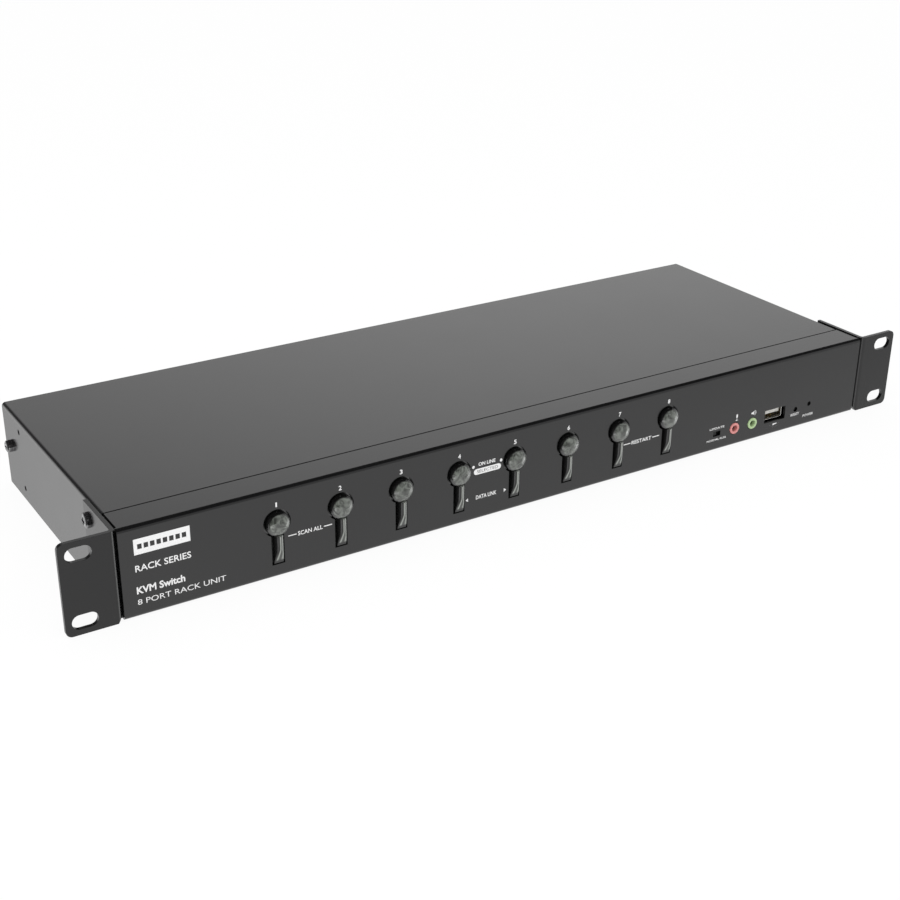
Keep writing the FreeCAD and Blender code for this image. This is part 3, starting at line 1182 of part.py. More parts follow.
def build_boards(port_places, selector_screws):
    """Main board, upper port board, their posts and all board screws."""
    main_places = [("%s * %s" % (sign, x), y) for side, sign in SIDES for x in ("main_post_x", "main_post_inner")
                   for y in ("main_post_front", "main_post_back")]
    upper_places = [("%s * %s" % (sign, x), "upper_board_front + board_screw_head * 2") for side, sign in SIDES
                    for x in ("main_post_x", "main_post_inner")]
    main_plate = block("MainPlate", "main_right - main_left", BOARD_BACK + " - rear_foot - main_front",
                       "board_wall", "main_left", "main_front", MAIN_Z)
    node("main_board", minus("MainBoard", main_plate, board_holes("Main", main_places, MAIN_Z)))
    upper_plate = block("UpperPlate", "main_right - main_left", BOARD_BACK + " - upper_board_front",
                        "board_wall", "main_left", "upper_board_front", UPPER_Z)
    node("upper_port_board", minus("UpperBoard", upper_plate, board_holes("Upper", upper_places, UPPER_Z)))
    posts = []
    screws = list(selector_screws)
    for name, places, low, bottom, top in (
            ("Main", main_places, "sheet_wall", MAIN_Z, "main_top"),
            ("Port", port_places, "sheet_wall", PORT_BOARD_Z, "port_board_top"),
            ("Upper", upper_places, "main_top", UPPER_Z, "upper_board_top")):
        for index, (x, y) in enumerate(places):
            tag = "%s%d" % (name, index)
            post = rod(tag + "Post", "standoff_radius", "%s - %s" % (bottom, low), x, y, low, "Z")
            bore = rod(tag + "Bore", "board_screw_shank", "board_screw_grip", x, y,
                       "%s - board_screw_grip" % top, "Z")
            posts.append(minus(tag + "Standoff", post, [bore]))
            head = rod(tag + "Head", "board_screw_head", "board_screw_rise", x, y, top, "Z")
            shank = rod(tag + "Shank", "board_screw_shank", "board_screw_grip", x, y,
                        "%s - board_screw_grip" % top, "Z")
            screws.append(union(tag + "Screw", [head, shank]))
    node("board_standoffs", group("Standoffs", posts))
    node("board_screws", group("BoardScrews", screws))


def board_holes(name, places, low):
    """Screw holes of a level board."""
    return [rod("%sHole%d" % (name, index), "board_screw_shank", "board_wall * 3", x, y, low + " - board_wall", "Z")
            for index, (x, y) in enumerate(places)]


def build_chips():
    """Port chips, processor, heat sink and capacitors on the main board."""
    chips = []
    for number in BUTTON_NUMBERS:
        x = "chip_pitch * %s" % (number - (BUTTON_COUNT + 1) / 2)
        chips.append(block("Chip%d" % number, "chip_size", "chip_size", "chip_rise", "%s - chip_size / 2" % x,
                           "chip_y - chip_size / 2", "main_top"))
    node("port_chips", group("PortChips", chips))
    brain = block("Processor", "processor_size", "processor_size", "processor_rise",
                  "processor_x - processor_size / 2", "processor_y - processor_size / 2", "main_top")
    node("main_processor", group("MainProcessor", [brain]))
    sink_z = "main_top + processor_rise"
    base = block("SinkBase", "sink_size", "sink_size", "sink_base", "processor_x - sink_size / 2",
                 "processor_y - sink_size / 2", sink_z)
    fin_count = 9
    fins = [block("Fin%d" % index, "sink_fin", "sink_size", "sink_base + sink_rise",
                  "processor_x + sink_pitch * %d - sink_fin / 2" % (index - fin_count // 2),
                  "processor_y - sink_size / 2", sink_z) for index in range(fin_count)]
    node("heat_sink", union("HeatSink", [base] + fins))
    cans = [rod("Can%d" % index, "can_radius", "can_rise", "can_first_x + can_pitch * %d" % index, "can_y",
                "main_top", "Z") for index in range(4)]
    node("capacitors", group("Capacitors", cans))


def build_ribbon():
    """Ribbon cable from the selector board to the main board, with its two plugs."""
    board_back = "(%s + board_wall)" % BOARD_FRONT
    upright = block("UprightPlug", "header_width", "header_rise", "header_height", "header_x - header_width / 2",
                    board_back, "header_z - header_height / 2")
    level = block("LevelPlug", "header_width", "header_height", "header_rise", "header_x - header_width / 2",
                  "header_y - header_height / 2", "main_top")
    node("cable_headers", group("CableHeaders", [upright, level]))
    body = new_body("Ribbon")
    plug_back = "(%s + header_rise)" % board_back
    half = "ribbon_wall / 2"
    section = outline(body, "RibbonSection", "YZ_Plane", (
        (plug_back, "header_z - " + half),
        ("header_y - " + half, "header_z - " + half),
        ("header_y - " + half, "main_top + header_rise"),
        ("header_y + " + half, "main_top + header_rise"),
        ("header_y + " + half, "header_z + " + half),
        (plug_back, "header_z + " + half),
    ))
    offset_sketch(section, "header_x")
    pad(body, section, "ribbon_width", midplane=True)
    round_edges(body, "ribbon_wall * 2", lambda a, b: near(a.y, "header_y + " + half)
                and near(b.y, "header_y + " + half) and near(a.z, "header_z + " + half)
                and near(b.z, "header_z + " + half))
    round_edges(body, "ribbon_wall", lambda a, b: near(a.y, "header_y - " + half)
                and near(b.y, "header_y - " + half) and near(a.z, "header_z - " + half)
                and near(b.z, "header_z - " + half))
    return node("ribbon_cable", body)


# ---------------------------------------------------------------------------------------------
# Build, check and write
# ---------------------------------------------------------------------------------------------


def build_everything():
    """Make every piece in order, from the case to the boards."""
    build_base_tray()
    build_top_cover()
    build_rear_panel()
    for label, sign in (("left_rack_ear", "-1"), ("right_rack_ear", "1")):
        build_rack_ear(label, sign)
    build_case_screws()
    for number in BUTTON_NUMBERS:
        build_port_button(number)
    for number in BUTTON_NUMBERS:
        build_link_lens(number)
    selector_screws = build_selector_board()
    port_places = build_front_port_board()
    build_firmware_switch()
    build_front_sockets()
    build_reset_and_power()
    build_video_sockets()
    build_host_data_sockets()
    build_rear_audio()
    build_console_and_power()
    build_boards(port_places, selector_screws)
    build_chips()
    build_ribbon()


def check_document():
    """Stop when an object failed or when a piece isn't a valid solid."""
    failed = [item.Name for item in doc.Objects if "Invalid" in item.State or "Error" in item.State]
    if failed:
        raise RuntimeError("these objects failed: " + ", ".join(failed))
    if len(nodes) > MAX_NODES:
        raise RuntimeError("too many pieces: %d" % len(nodes))
    for label, item in nodes:
        shape = item.Shape
        if shape.isNull() or not shape.isValid() or not shape.Solids:
            raise RuntimeError("the piece %s isn't a valid solid" % label)


def write_nodes():
    """Write every piece to its own file."""
    os.makedirs(PARTS_FOLDER, exist_ok=True)
    for label, item in nodes:
        item.Shape.exportStep(os.path.join(PARTS_FOLDER, label + ".step"))


build_everything()
doc.recompute()
check_document()
write_nodes()
print("pieces written: %d" % len(nodes))
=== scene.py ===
"""Looks of an eight-port rack switch for keyboards, screens and mice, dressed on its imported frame."""

import logging
import math
from dataclasses import dataclass, field
from enum import Enum
from typing import Optional, Sequence

import bmesh
import bpy
import numpy as np
from mathutils import Matrix, Vector


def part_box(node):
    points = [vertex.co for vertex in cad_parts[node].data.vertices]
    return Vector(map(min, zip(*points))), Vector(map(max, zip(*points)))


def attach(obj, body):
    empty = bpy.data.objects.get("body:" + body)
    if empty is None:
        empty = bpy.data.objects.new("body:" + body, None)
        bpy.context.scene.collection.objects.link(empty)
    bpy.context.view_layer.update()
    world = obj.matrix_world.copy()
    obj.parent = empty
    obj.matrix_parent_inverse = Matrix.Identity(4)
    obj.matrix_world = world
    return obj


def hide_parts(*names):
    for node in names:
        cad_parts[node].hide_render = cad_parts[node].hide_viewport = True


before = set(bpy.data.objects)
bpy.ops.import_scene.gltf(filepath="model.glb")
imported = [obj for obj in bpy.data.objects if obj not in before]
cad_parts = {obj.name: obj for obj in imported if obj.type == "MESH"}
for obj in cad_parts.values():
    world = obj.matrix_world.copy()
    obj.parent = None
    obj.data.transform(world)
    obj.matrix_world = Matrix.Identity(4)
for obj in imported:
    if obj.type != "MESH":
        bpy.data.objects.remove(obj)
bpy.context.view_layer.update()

MM = 0.001
BUTTONS = range(1, 9)
COLUMNS = len(BUTTONS) + 1
WELD = 1e-6
TURN_STEPS = 72
DRAWN_WALL = 0.02
PI = math.pi
DUST_TONE = (0.35, 0.34, 0.32)

log = logging.getLogger("rack_switch")
Array = np.ndarray
Colour = tuple[float, float, float]


class Body(Enum):
    """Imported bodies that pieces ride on."""

    CASE = "case"
    SLIDER = "firmware_slider"
    RESET = "reset_button"


class Facing(Enum):
    """Which way a turned or printed piece faces: along, sideways and upward directions."""

    FRONT = ((0.0, -1.0, 0.0), (1.0, 0.0, 0.0), (0.0, 0.0, 1.0))
    BACK = ((0.0, 1.0, 0.0), (-1.0, 0.0, 0.0), (0.0, 0.0, 1.0))
    LEFT = ((-1.0, 0.0, 0.0), (0.0, -1.0, 0.0), (0.0, 0.0, 1.0))
    RIGHT = ((1.0, 0.0, 0.0), (0.0, 1.0, 0.0), (0.0, 0.0, 1.0))

    @property
    def axes(self) -> Array:
        """The three directions as rows: out of the face, sideways, up."""
        return np.array(self.value)

    def ring(self, angle: Array) -> Array:
        """Directions across the face at each angle: cos a * side + sin a * up."""
        _, side, up = self.axes
        return np.cos(angle)[:, None] * side + np.sin(angle)[:, None] * up


class Effect(Enum):
    """Shader node groups that several finishes share."""

    GRAIN = "surface_grain"
    EDGE = "edge_touch"
    STREAK = "drawn_streaks"
    DUST = "settled_dust"


# ------------------------------------------------------------------------------------------
# Surfaces
# ------------------------------------------------------------------------------------------


@dataclass(frozen=True)
class Surface:
    """Points and four-cornered faces of one closed shape, in metres."""

    points: Array
    faces: Array

    @classmethod
    def carried(cls, sections: Array, closed_path: bool = False) -> "Surface":
        """A closed profile carried along a path.

        Row i, column j of the grid is point j of the profile at station i. An open path gets a
        last and a first station at the middle of its end profile, which closes both ends.

        Args:
            sections: stations by profile points by three, in metres.
            closed_path: whether the last station joins the first.

        Returns:
            The surface.
        """
        if not closed_path:
            first = np.repeat(sections[:1].mean(axis=1, keepdims=True), sections.shape[1], axis=1)
            last = np.repeat(sections[-1:].mean(axis=1, keepdims=True), sections.shape[1], axis=1)
            sections = np.concatenate([first, sections, last])
        rows, columns = sections.shape[:2]
        row = np.arange(rows if closed_path else rows - 1)[:, None]
        column = np.arange(columns)[None, :]
        after, beside = (row + 1) % rows, (column + 1) % columns
        corners = [row * columns + column, row * columns + beside, after * columns + beside,
                   after * columns + column]
        faces = np.stack(np.broadcast_arrays(*corners), axis=-1).reshape(-1, 4)
        return cls(sections.reshape(-1, 3), faces)

    @classmethod
    def turned(cls, profile: Array, origin: Sequence[float], facing: Facing,
               steps: int = TURN_STEPS) -> "Surface":
        """A profile turned round an axis.

        A point at height h and radius r goes to origin + h * out + r * (cos a * side + sin a * up).

        Args:
            profile: rows of height out of the face and radius, in metres.
            origin: where height is nothing, on the axis.
            facing: direction of the axis.
            steps: points round the axis.

        Returns:
            The surface, closed at both ends of the profile.
        """
        out, ring = facing.axes[0], facing.ring(np.linspace(0.0, 2 * PI, steps, endpoint=False))
        points = np.array(origin) + profile[:, None, :1] * out + profile[:, None, 1:] * ring[None]
        return cls.carried(points)

    @classmethod
    def hollow(cls, profile: Array, origin: Sequence[float], facing: Facing,
               steps: int = TURN_STEPS) -> "Surface":
        """A closed profile turned round an axis, as a ring or tube."""
        out, ring = facing.axes[0], facing.ring(np.linspace(0.0, 2 * PI, steps, endpoint=False))
        points = np.array(origin) + profile[None, :, :1] * out + profile[None, :, 1:] * ring[:, None]
        return cls.carried(points, closed_path=True)

    @classmethod
    def joined(cls, parts: Sequence["Surface"]) -> "Surface":
        """Several surfaces as one."""
        starts = np.cumsum([0] + [len(part.points) for part in parts[:-1]])
        return cls(np.concatenate([part.points for part in parts]),
                   np.concatenate([part.faces + start for part, start in zip(parts, starts)]))

    def mesh(self, name: str) -> bpy.types.Mesh:
        """The surface as a mesh whose seams and poles are welded and whose faces point outward.

        Args:
            name: name of the mesh.

        Returns:
            The mesh.
        """
        made = bpy.data.meshes.new(name)
        made.vertices.add(len(self.points))
        made.vertices.foreach_set("co", self.points.astype(np.float32).ravel())
        made.loops.add(self.faces.size)
        made.loops.foreach_set("vertex_index", self.faces.astype(np.int32).ravel())
        made.polygons.add(len(self.faces))
        made.polygons.foreach_set("loop_start", np.arange(len(self.faces), dtype=np.int32) * 4)
        made.update(calc_edges=True)
        return welded(made)


def welded(mesh: bpy.types.Mesh, flatten: bool = False) -> bpy.types.Mesh:
    """Merge a mesh's doubles and turn its faces outward.

    Args:
        mesh: the mesh, which is changed.
        flatten: whether triangles that lie in one plane become one face.

    Returns:
        The same mesh.
    """
    work = bmesh.new()
    work.from_mesh(mesh)
    bmesh.ops.remove_doubles(work, verts=work.verts, dist=WELD)
    bmesh.ops.dissolve_degenerate(work, edges=work.edges, dist=WELD / 2)
    bmesh.ops.recalc_face_normals(work, faces=work.faces)
    if flatten:
        bmesh.ops.dissolve_limit(work, angle_limit=math.radians(0.4), verts=work.verts,
                                 edges=work.edges)
    work.to_mesh(mesh)
    work.free()
    mesh.polygons.foreach_set("use_smooth", np.ones(len(mesh.polygons), dtype=bool))
    mesh.update()
    return mesh


@dataclass(frozen=True)
class Piece:
    """One new piece: what it rides on, which nodes it stands for and its finish."""

    name: str
    body: str
    slot: str
    stands_for: tuple[str, ...] = ()

    def settle(self, mesh: bpy.types.Mesh, finish: bpy.types.Material,
               sharp: float = 40.0) -> bpy.types.Object:
        """Put the piece in the scene.

        Args:
            mesh: its mesh, in place.
            finish: its material.
            sharp: edges that turn by more degrees than this stay crisp.

        Returns:
            The piece's object.
        """
        mesh.name = self.name
        mesh.materials.clear()
        mesh.materials.append(finish)
        mesh.set_sharp_from_angle(angle=math.radians(sharp))
        made = bpy.data.objects.new(self.name, mesh)
        bpy.context.scene.collection.objects.link(made)
        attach(made, self.body)
        if self.stands_for:
            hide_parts(*self.stands_for)
        log.info("%s rides on %s", self.name, self.body)
        return made


def softened(piece: Piece, finish: bpy.types.Material, edge: float, steps: int = 2,
             angle: float = 32.0) -> bpy.types.Object:
    """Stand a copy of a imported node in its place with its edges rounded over.

    Args:
        piece: the piece, which stands for exactly one node.
        finish: its material.
        edge: width of the rounding, in metres.
        steps: faces across the rounding.
        angle: edges that turn by fewer degrees than this are left.

    Returns:
        The piece's object.
    """
    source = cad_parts[piece.stands_for[0]]
    mesh = welded(source.data.copy(), flatten=True)
    made = piece.settle(mesh, finish, sharp=180.0)
    bevel = made.modifiers.new("soft_edges", "BEVEL")
    bevel.width = edge
    bevel.segments = steps
    bevel.limit_method = "ANGLE"
    bevel.angle_limit = math.radians(angle)
    bevel.use_clamp_overlap = True
    even = made.modifiers.new("even_light", "WEIGHTED_NORMAL")
    even.keep_sharp = True
    return made


def rounded_corner(start: Sequence[float], corner: Sequence[float], end: Sequence[float],
                   radius: float, steps: int = 6) -> Array:
    """Points of a rounded corner between two runs: a quadratic curve from one run to the other.

    Args:
        start: a point on the first run.
        corner: where the runs would meet.
        end: a point on the second run.
        radius: how far from the corner the curve starts and ends.
        steps: points of the curve.

    Returns:
        The curve's points, one a row.
    """
    a, b, c = (np.array(point, dtype=float) for point in (start, corner, end))
    first = b + (a - b) / np.linalg.norm(a - b) * radius
    last = b + (c - b) / np.linalg.norm(c - b) * radius
    t = np.linspace(0.0, 1.0, steps)[:, None]
    return (1 - t) ** 2 * first + 2 * t * (1 - t) * b + t ** 2 * last


def soft_step(low: float, high: float, value: Array) -> Array:
    """Smooth rise from 0 at low to 1 at high: 3 t squared less 2 t cubed."""
    t = np.clip((value - low) / (high - low), 0.0, 1.0)
    return t * t * (3 - 2 * t)


# ------------------------------------------------------------------------------------------
# Shader nodes
# ------------------------------------------------------------------------------------------


class NodeBench:
    """Places shader nodes in one tree and joins them."""

    def __init__(self, tree: bpy.types.NodeTree) -> None:
        """Keep the tree.

        Args:
            tree: the tree that nodes go into.
        """
        self.tree = tree

    def add(self, kind: str, inputs: Optional[dict] = None, **settings: object) -> bpy.types.Node:
        """Add one node.

        Args:
            kind: type of the node, without the words that all types start with.
            inputs: a value or an output socket for each named input.
            settings: properties of the node.

        Returns:
            The node.
        """
        made = self.tree.nodes.new("ShaderNode" + kind)
        for key, value in settings.items():
            setattr(made, key, value)
        for key, value in (inputs or {}).items():
            self.feed(made.inputs[key], value)
        return made

    def feed(self, socket: bpy.types.NodeSocket, value: object) -> None:
        """Join an output to a socket, or set the socket's value."""
        if isinstance(value, bpy.types.NodeSocket):
            self.tree.links.new(value, socket)
        elif isinstance(value, tuple) and len(value) == 3 and socket.type == "RGBA":
            socket.default_value = (*value, 1.0)
        else:
            socket.default_value = value

    def maths(self, operation: str, first: object, second: object = 0.0,
              clamp: bool = False) -> bpy.types.NodeSocket:
        """Join two values by one operation and return the result's socket."""
        return self.add("Math", {0: first, 1: second}, operation=operation, use_clamp=clamp).outputs[0]

    def times(self, first: object, second: object, clamp: bool = False) -> bpy.types.NodeSocket:
        """Multiply two values."""
        return self.maths("MULTIPLY", first, second, clamp)

    def plus(self, first: object, second: object) -> bpy.types.NodeSocket:
        """Add two values."""
        return self.maths("ADD", first, second)

    def blend(self, share: object, first: object, second: object) -> bpy.types.NodeSocket:
        """Mix two colours by a share and return the mixed colour's socket."""
        made = self.add("Mix", data_type="RGBA")
        for index, value in ((0, share), (6, first), (7, second)):
            self.feed(made.inputs[index], value)
        return made.outputs[2]

    def between(self, share: object, low: float, high: float) -> bpy.types.NodeSocket:
        """Carry a share from 0 to 1 over to a range of values."""
        return self.add("MapRange", {0: share, 3: low, 4: high}).outputs[0]

    def eased(self, value: object, start: float, end: float, low: float = 0.0,
              high: float = 1.0) -> bpy.types.NodeSocket:
        """Smooth change from low to high as a value goes from start to end."""
        return self.add("MapRange", {0: value, 1: start, 2: end, 3: low, 4: high},
                        interpolation_type="SMOOTHSTEP").outputs[0]

    def place(self) -> bpy.types.NodeSocket:
        """The piece's own coordinates."""
        return self.add("TexCoord").outputs["Object"]

    def effect(self, effect: Effect, inputs: dict) -> bpy.types.Node:
        """Place one shared effect."""
        made = self.add("Group")
        made.node_tree = EffectShelf.get(effect)
        for key, value in inputs.items():
            self.feed(made.inputs[key], value)
        return made


class EffectShelf:
    """The shared effects, each built the first time that a finish asks for it."""

    @staticmethod
    def get(effect: Effect) -> bpy.types.NodeTree:
        """Find or build one effect.

        Args:
            effect: which effect.

        Returns:
            Its node tree.
        """
        found = bpy.data.node_groups.get(effect.value)
        if found:
            return found
        makers = {
            Effect.GRAIN: EffectShelf.grain,
            Effect.EDGE: EffectShelf.edge,
            Effect.STREAK: EffectShelf.streak,
            Effect.DUST: EffectShelf.dust,
        }
        tree = bpy.data.node_groups.new(effect.value, "ShaderNodeTree")
        makers[effect](tree)
        return tree

    @staticmethod
    def sockets(tree: bpy.types.NodeTree, takes: Sequence[tuple[str, str, float]],
                gives: Sequence[tuple[str, str]]) -> tuple[NodeBench, bpy.types.Node, bpy.types.Node]:
        """Give a group its named inputs and outputs.

        Args:
            tree: the group's tree.
            takes: name, kind of socket and usual value of each input.
            gives: name and kind of socket of each output.

        Returns:
            A bench on the tree, the node of its inputs and the node of its outputs.
        """
        for name, kind, usual in takes:
            socket = tree.interface.new_socket(name, in_out="INPUT", socket_type=kind)
            if kind == "NodeSocketFloat":
                socket.default_value = usual
        for name, kind in gives:
            tree.interface.new_socket(name, in_out="OUTPUT", socket_type=kind)
        return NodeBench(tree), tree.nodes.new("NodeGroupInput"), tree.nodes.new("NodeGroupOutput")

    @staticmethod
    def grain(tree: bpy.types.NodeTree) -> None:
        """Fine relief and broad mottling of paint or moulded plastic."""
        bench, taken, given = EffectShelf.sockets(
            tree, [("Vector", "NodeSocketVector", 0.0), ("Scale", "NodeSocketFloat", 2000.0),
                   ("Relief", "NodeSocketFloat", 0.000005)],
            [("Mottle", "NodeSocketFloat"), ("Fine", "NodeSocketFloat"), ("Normal", "NodeSocketVector")])
        broad = bench.add("TexNoise", {"Vector": taken.outputs[0], "Detail": 4.0,
                                       "Scale": bench.times(taken.outputs[1], 0.02)})
        fine = bench.add("TexNoise", {"Vector": taken.outputs[0], "Detail": 2.0,
                                      "Scale": taken.outputs[1]})
        bump = bench.add("Bump", {"Height": fine.outputs[0], "Distance": taken.outputs[2]})
        bench.feed(given.inputs[0], broad.outputs[0])
        bench.feed(given.inputs[1], fine.outputs[0])
        bench.feed(given.inputs[2], bump.outputs[0])

    @staticmethod
    def edge(tree: bpy.types.NodeTree) -> None:
        """Mask of the edges: where hands and tools rub a surface, and where the socket and screw finishes
        paint shade and glints.
        """
        bench, taken, given = EffectShelf.sockets(
            tree, [("Vector", "NodeSocketVector", 0.0), ("Radius", "NodeSocketFloat", 0.0004),
                   ("Gain", "NodeSocketFloat", 4.0)], [("Mask", "NodeSocketFloat")])
        rounded = bench.add("Bevel", {"Radius": taken.outputs[1]}, samples=4)
        flat = bench.add("NewGeometry")
        meet = bench.add("VectorMath", {0: rounded.outputs[0], 1: flat.outputs["Normal"]},
                         operation="DOT_PRODUCT")
        turn = bench.maths("SUBTRACT", 1.0, meet.outputs["Value"])
        broken = bench.add("TexNoise", {"Vector": taken.outputs[0], "Scale": 900.0, "Detail": 3.0})
        patchy = bench.between(broken.outputs[0], 0.3, 1.2)
        lifted = bench.times(bench.times(turn, taken.outputs[2]), patchy, clamp=True)
        bench.feed(given.inputs[0], lifted)

    @staticmethod
    def streak(tree: bpy.types.NodeTree) -> None:
        """Long thin streaks that rolling or drawing leaves in metal."""
        bench, taken, given = EffectShelf.sockets(
            tree, [("Vector", "NodeSocketVector", 0.0), ("Scale", "NodeSocketFloat", 3000.0),
                   ("Relief", "NodeSocketFloat", 0.000002)],
            [("Streak", "NodeSocketFloat"), ("Normal", "NodeSocketVector")])
        drawn = bench.add("Mapping", {"Vector": taken.outputs[0], "Scale": (0.03, 1.0, 1.0)})
        lines = bench.add("TexNoise", {"Vector": drawn.outputs[0], "Scale": taken.outputs[1],
                                       "Detail": 3.0})
        bump = bench.add("Bump", {"Height": lines.outputs[0], "Distance": taken.outputs[2]})
        bench.feed(given.inputs[0], lines.outputs[0])
        bench.feed(given.inputs[1], bump.outputs[0])

    @staticmethod
    def dust(tree: bpy.types.NodeTree) -> None:
        """Thin dust that lies on what faces up."""
        bench, taken, given = EffectShelf.sockets(
            tree, [("Vector", "NodeSocketVector", 0.0), ("Amount", "NodeSocketFloat", 0.1)],
            [("Mask", "NodeSocketFloat")])
        facing = bench.add("SeparateXYZ", {0: bench.add("NewGeometry").outputs["Normal"]})
        up = bench.maths("POWER", bench.maths("MAXIMUM", facing.outputs[2], 0.0), 3.0)
        cloud = bench.add("TexNoise", {"Vector": taken.outputs[0], "Scale": 30.0, "Detail": 6.0,
                                       "Roughness": 0.65})
        specks = bench.add("TexNoise", {"Vector": taken.outputs[0], "Scale": 2600.0, "Detail": 1.0})
        rare = bench.between(bench.maths("POWER", specks.outputs[0], 6.0), 0.2, 1.0)
        amount = bench.times(bench.times(up, taken.outputs[1]),
                             bench.times(cloud.outputs[0], rare), clamp=True)
        bench.feed(given.inputs[0], amount)


@dataclass(frozen=True)
class Finish:
    """Paint, plastic or lacquer: two tones of one colour, fine grain, dust and an edge tone, which is wear on
    most finishes and painted light on some.
    """

    name: str
    dark: Colour
    light: Colour
    rough: tuple[float, float] = (0.35, 0.45)
    grain: float = 2000.0
    relief: float = 0.000004
    edge_wear_and_painted_tone: Optional[Colour] = None
    edge_width: float = 0.0003
    edge_gain: float = 2.0
    dust: float = 0.0
    metal: float = 0.0
    coat: float = 0.0
    coat_rough: float = 0.1
    index: float = 1.5

    def start(self) -> tuple[bpy.types.Material, NodeBench, bpy.types.Node]:
        """Make the bare material.

        Returns:
            The material, a bench on its tree and its surface shader.
        """
        made = bpy.data.materials.new(self.name)
        made.use_nodes = True
        made.node_tree.nodes.clear()
        bench = NodeBench(made.node_tree)
        shader = bench.add("BsdfPrincipled", {
            "Metallic": self.metal, "IOR": self.index, "Coat Weight": self.coat,
            "Coat Roughness": self.coat_rough})
        output = bench.add("OutputMaterial")
        bench.feed(output.inputs["Surface"], shader.outputs[0])
        return made, bench, shader

    def tone(self, bench: NodeBench, mottle: bpy.types.NodeSocket) -> bpy.types.NodeSocket:
        """Colour of the bare surface."""
        return bench.blend(mottle, self.dark, self.light)

    def material(self) -> bpy.types.Material:
        """Find the material, or build it the first time.

        Returns:
            The material.
        """
        found = bpy.data.materials.get(self.name)
        if found:
            return found
        made, bench, shader = self.start()
        self.paint(bench, shader, bench.place())
        return made

    def paint(self, bench: NodeBench, shader: bpy.types.Node, place: bpy.types.NodeSocket) -> None:
        """Join what varies over the surface to the shader.

        Args:
            bench: bench on the material's tree.
            shader: the surface shader.
            place: the piece's own coordinates.
        """
        grain = bench.effect(Effect.GRAIN, {"Vector": place, "Scale": self.grain, "Relief": self.relief})
        colour = self.edge_tinted(bench, place, self.tone(bench, grain.outputs["Mottle"]))
        if self.dust:
            dust = bench.effect(Effect.DUST, {"Vector": place, "Amount": self.dust})
            colour = bench.blend(dust.outputs["Mask"], colour, DUST_TONE)
        self.join(bench, shader, colour, grain.outputs["Mottle"], grain.outputs["Normal"])

    def edge_tinted(self, bench: NodeBench, place: bpy.types.NodeSocket,
                colour: bpy.types.NodeSocket) -> bpy.types.NodeSocket:
        """Blend in the edge tone, where the finish has one: wear on most finishes, painted shade on the
        socket collars and painted glints on the screws.
        """
        if not self.edge_wear_and_painted_tone:
            return colour
        edge = bench.effect(Effect.EDGE, {"Vector": place, "Radius": self.edge_width, "Gain": self.edge_gain})
        return bench.blend(edge.outputs["Mask"], colour, self.edge_wear_and_painted_tone)

    def join(self, bench: NodeBench, shader: bpy.types.Node, colour: bpy.types.NodeSocket,
             share: bpy.types.NodeSocket, normal: bpy.types.NodeSocket) -> None:
        """Feed the shader its colour, a roughness between the finish's two by a share, and its relief."""
        bench.feed(shader.inputs["Base Color"], colour)
        bench.feed(shader.inputs["Roughness"], bench.between(share, *self.rough))
        bench.feed(shader.inputs["Normal"], normal)


@dataclass(frozen=True)
class DrawnMetal(Finish):
    """Rolled or drawn bare metal with long fine streaks."""

    turned: Colour = (0.0, 0.0, 0.0)

    def paint(self, bench: NodeBench, shader: bpy.types.Node, place: bpy.types.NodeSocket) -> None:
        """Join the streaks to the shader.

        Args:
            bench: bench on the material's tree.
            shader: the surface shader.
            place: the piece's own coordinates.
        """
        way = bench.add("Mapping", {"Vector": place, "Rotation": self.turned})
        streak = bench.effect(Effect.STREAK, {"Vector": way.outputs[0], "Scale": self.grain,
                                              "Relief": self.relief})
        colour = self.edge_tinted(bench, place, bench.blend(streak.outputs["Streak"], self.dark, self.light))
        self.join(bench, shader, colour, streak.outputs["Streak"], streak.outputs["Normal"])


@dataclass(frozen=True)
class SmokedLens(Finish):
    """Smoked glossy plastic: a face of faint swirled painted highlights with a painted darker middle, inside
    a dark rim of painted shade.
    """

    # Reaches, in millimetres: painted highlights light the face out to face_reach, and painted shade darkens
    # the rim from rim_reach out.
    face_reach: float = 4.5
    rim_reach: float = 5.3
    middle_reach: float = 2.6
    dark_middle_share: float = 0.35
    # Colour of the painted shade on the rim, the cap's edge that sits in the dark gap of its hole.
    rim_shade_tone: Colour = (0.004, 0.004, 0.004)
    swirl_scale: float = 230.0
    swirl_twist: float = 2.2
    swirl_highlight_range: tuple[float, float] = (0.3, 0.72)
    swirl_relief: float = 0.00025

    def paint(self, bench: NodeBench, shader: bpy.types.Node, place: bpy.types.NodeSocket) -> None:
        """Join the face of painted swirled highlights and its dark rim of painted shade to the shader.

        The mesh carries each point's distance from the axis, in millimetres, as its attribute "from_axis".
        Painted highlights make the face lighter out to face_reach, painted shade darkens everything from
        rim_reach out, and the painted highlight dims to a set share of itself on the axis.

        Args:
            bench: bench on the material's tree.
            shader: the surface shader.
            place: the piece's own coordinates.
        """
        reach = bench.add("Attribute", attribute_name="from_axis").outputs["Fac"]
        grain = bench.effect(Effect.GRAIN, {"Vector": place, "Scale": self.grain, "Relief": self.relief})
        swirl = bench.add("TexNoise", {"Vector": place, "Scale": self.swirl_scale, "Detail": 2.0,
                                       "Distortion": self.swirl_twist})
        # Painted highlight: swirled noise lightens the face, dimmed towards the middle.
        painted_swirl_highlight = bench.eased(swirl.outputs[0], *self.swirl_highlight_range)
        painted_dark_middle = bench.eased(reach, 0.0, self.middle_reach, self.dark_middle_share, 1.0)
        face = bench.eased(reach, self.face_reach, self.rim_reach, 1.0, 0.0)
        tone = bench.blend(bench.times(painted_swirl_highlight, painted_dark_middle), self.dark, self.light)
        bump = bench.add("Bump", {"Height": swirl.outputs[0], "Distance": self.swirl_relief,
                                  "Normal": grain.outputs["Normal"]})
        # Painted shade: from rim_reach out the cap takes the dark rim colour.
        self.join(bench, shader, bench.blend(face, self.rim_shade_tone, tone), grain.outputs["Mottle"],
                  bump.outputs[0])


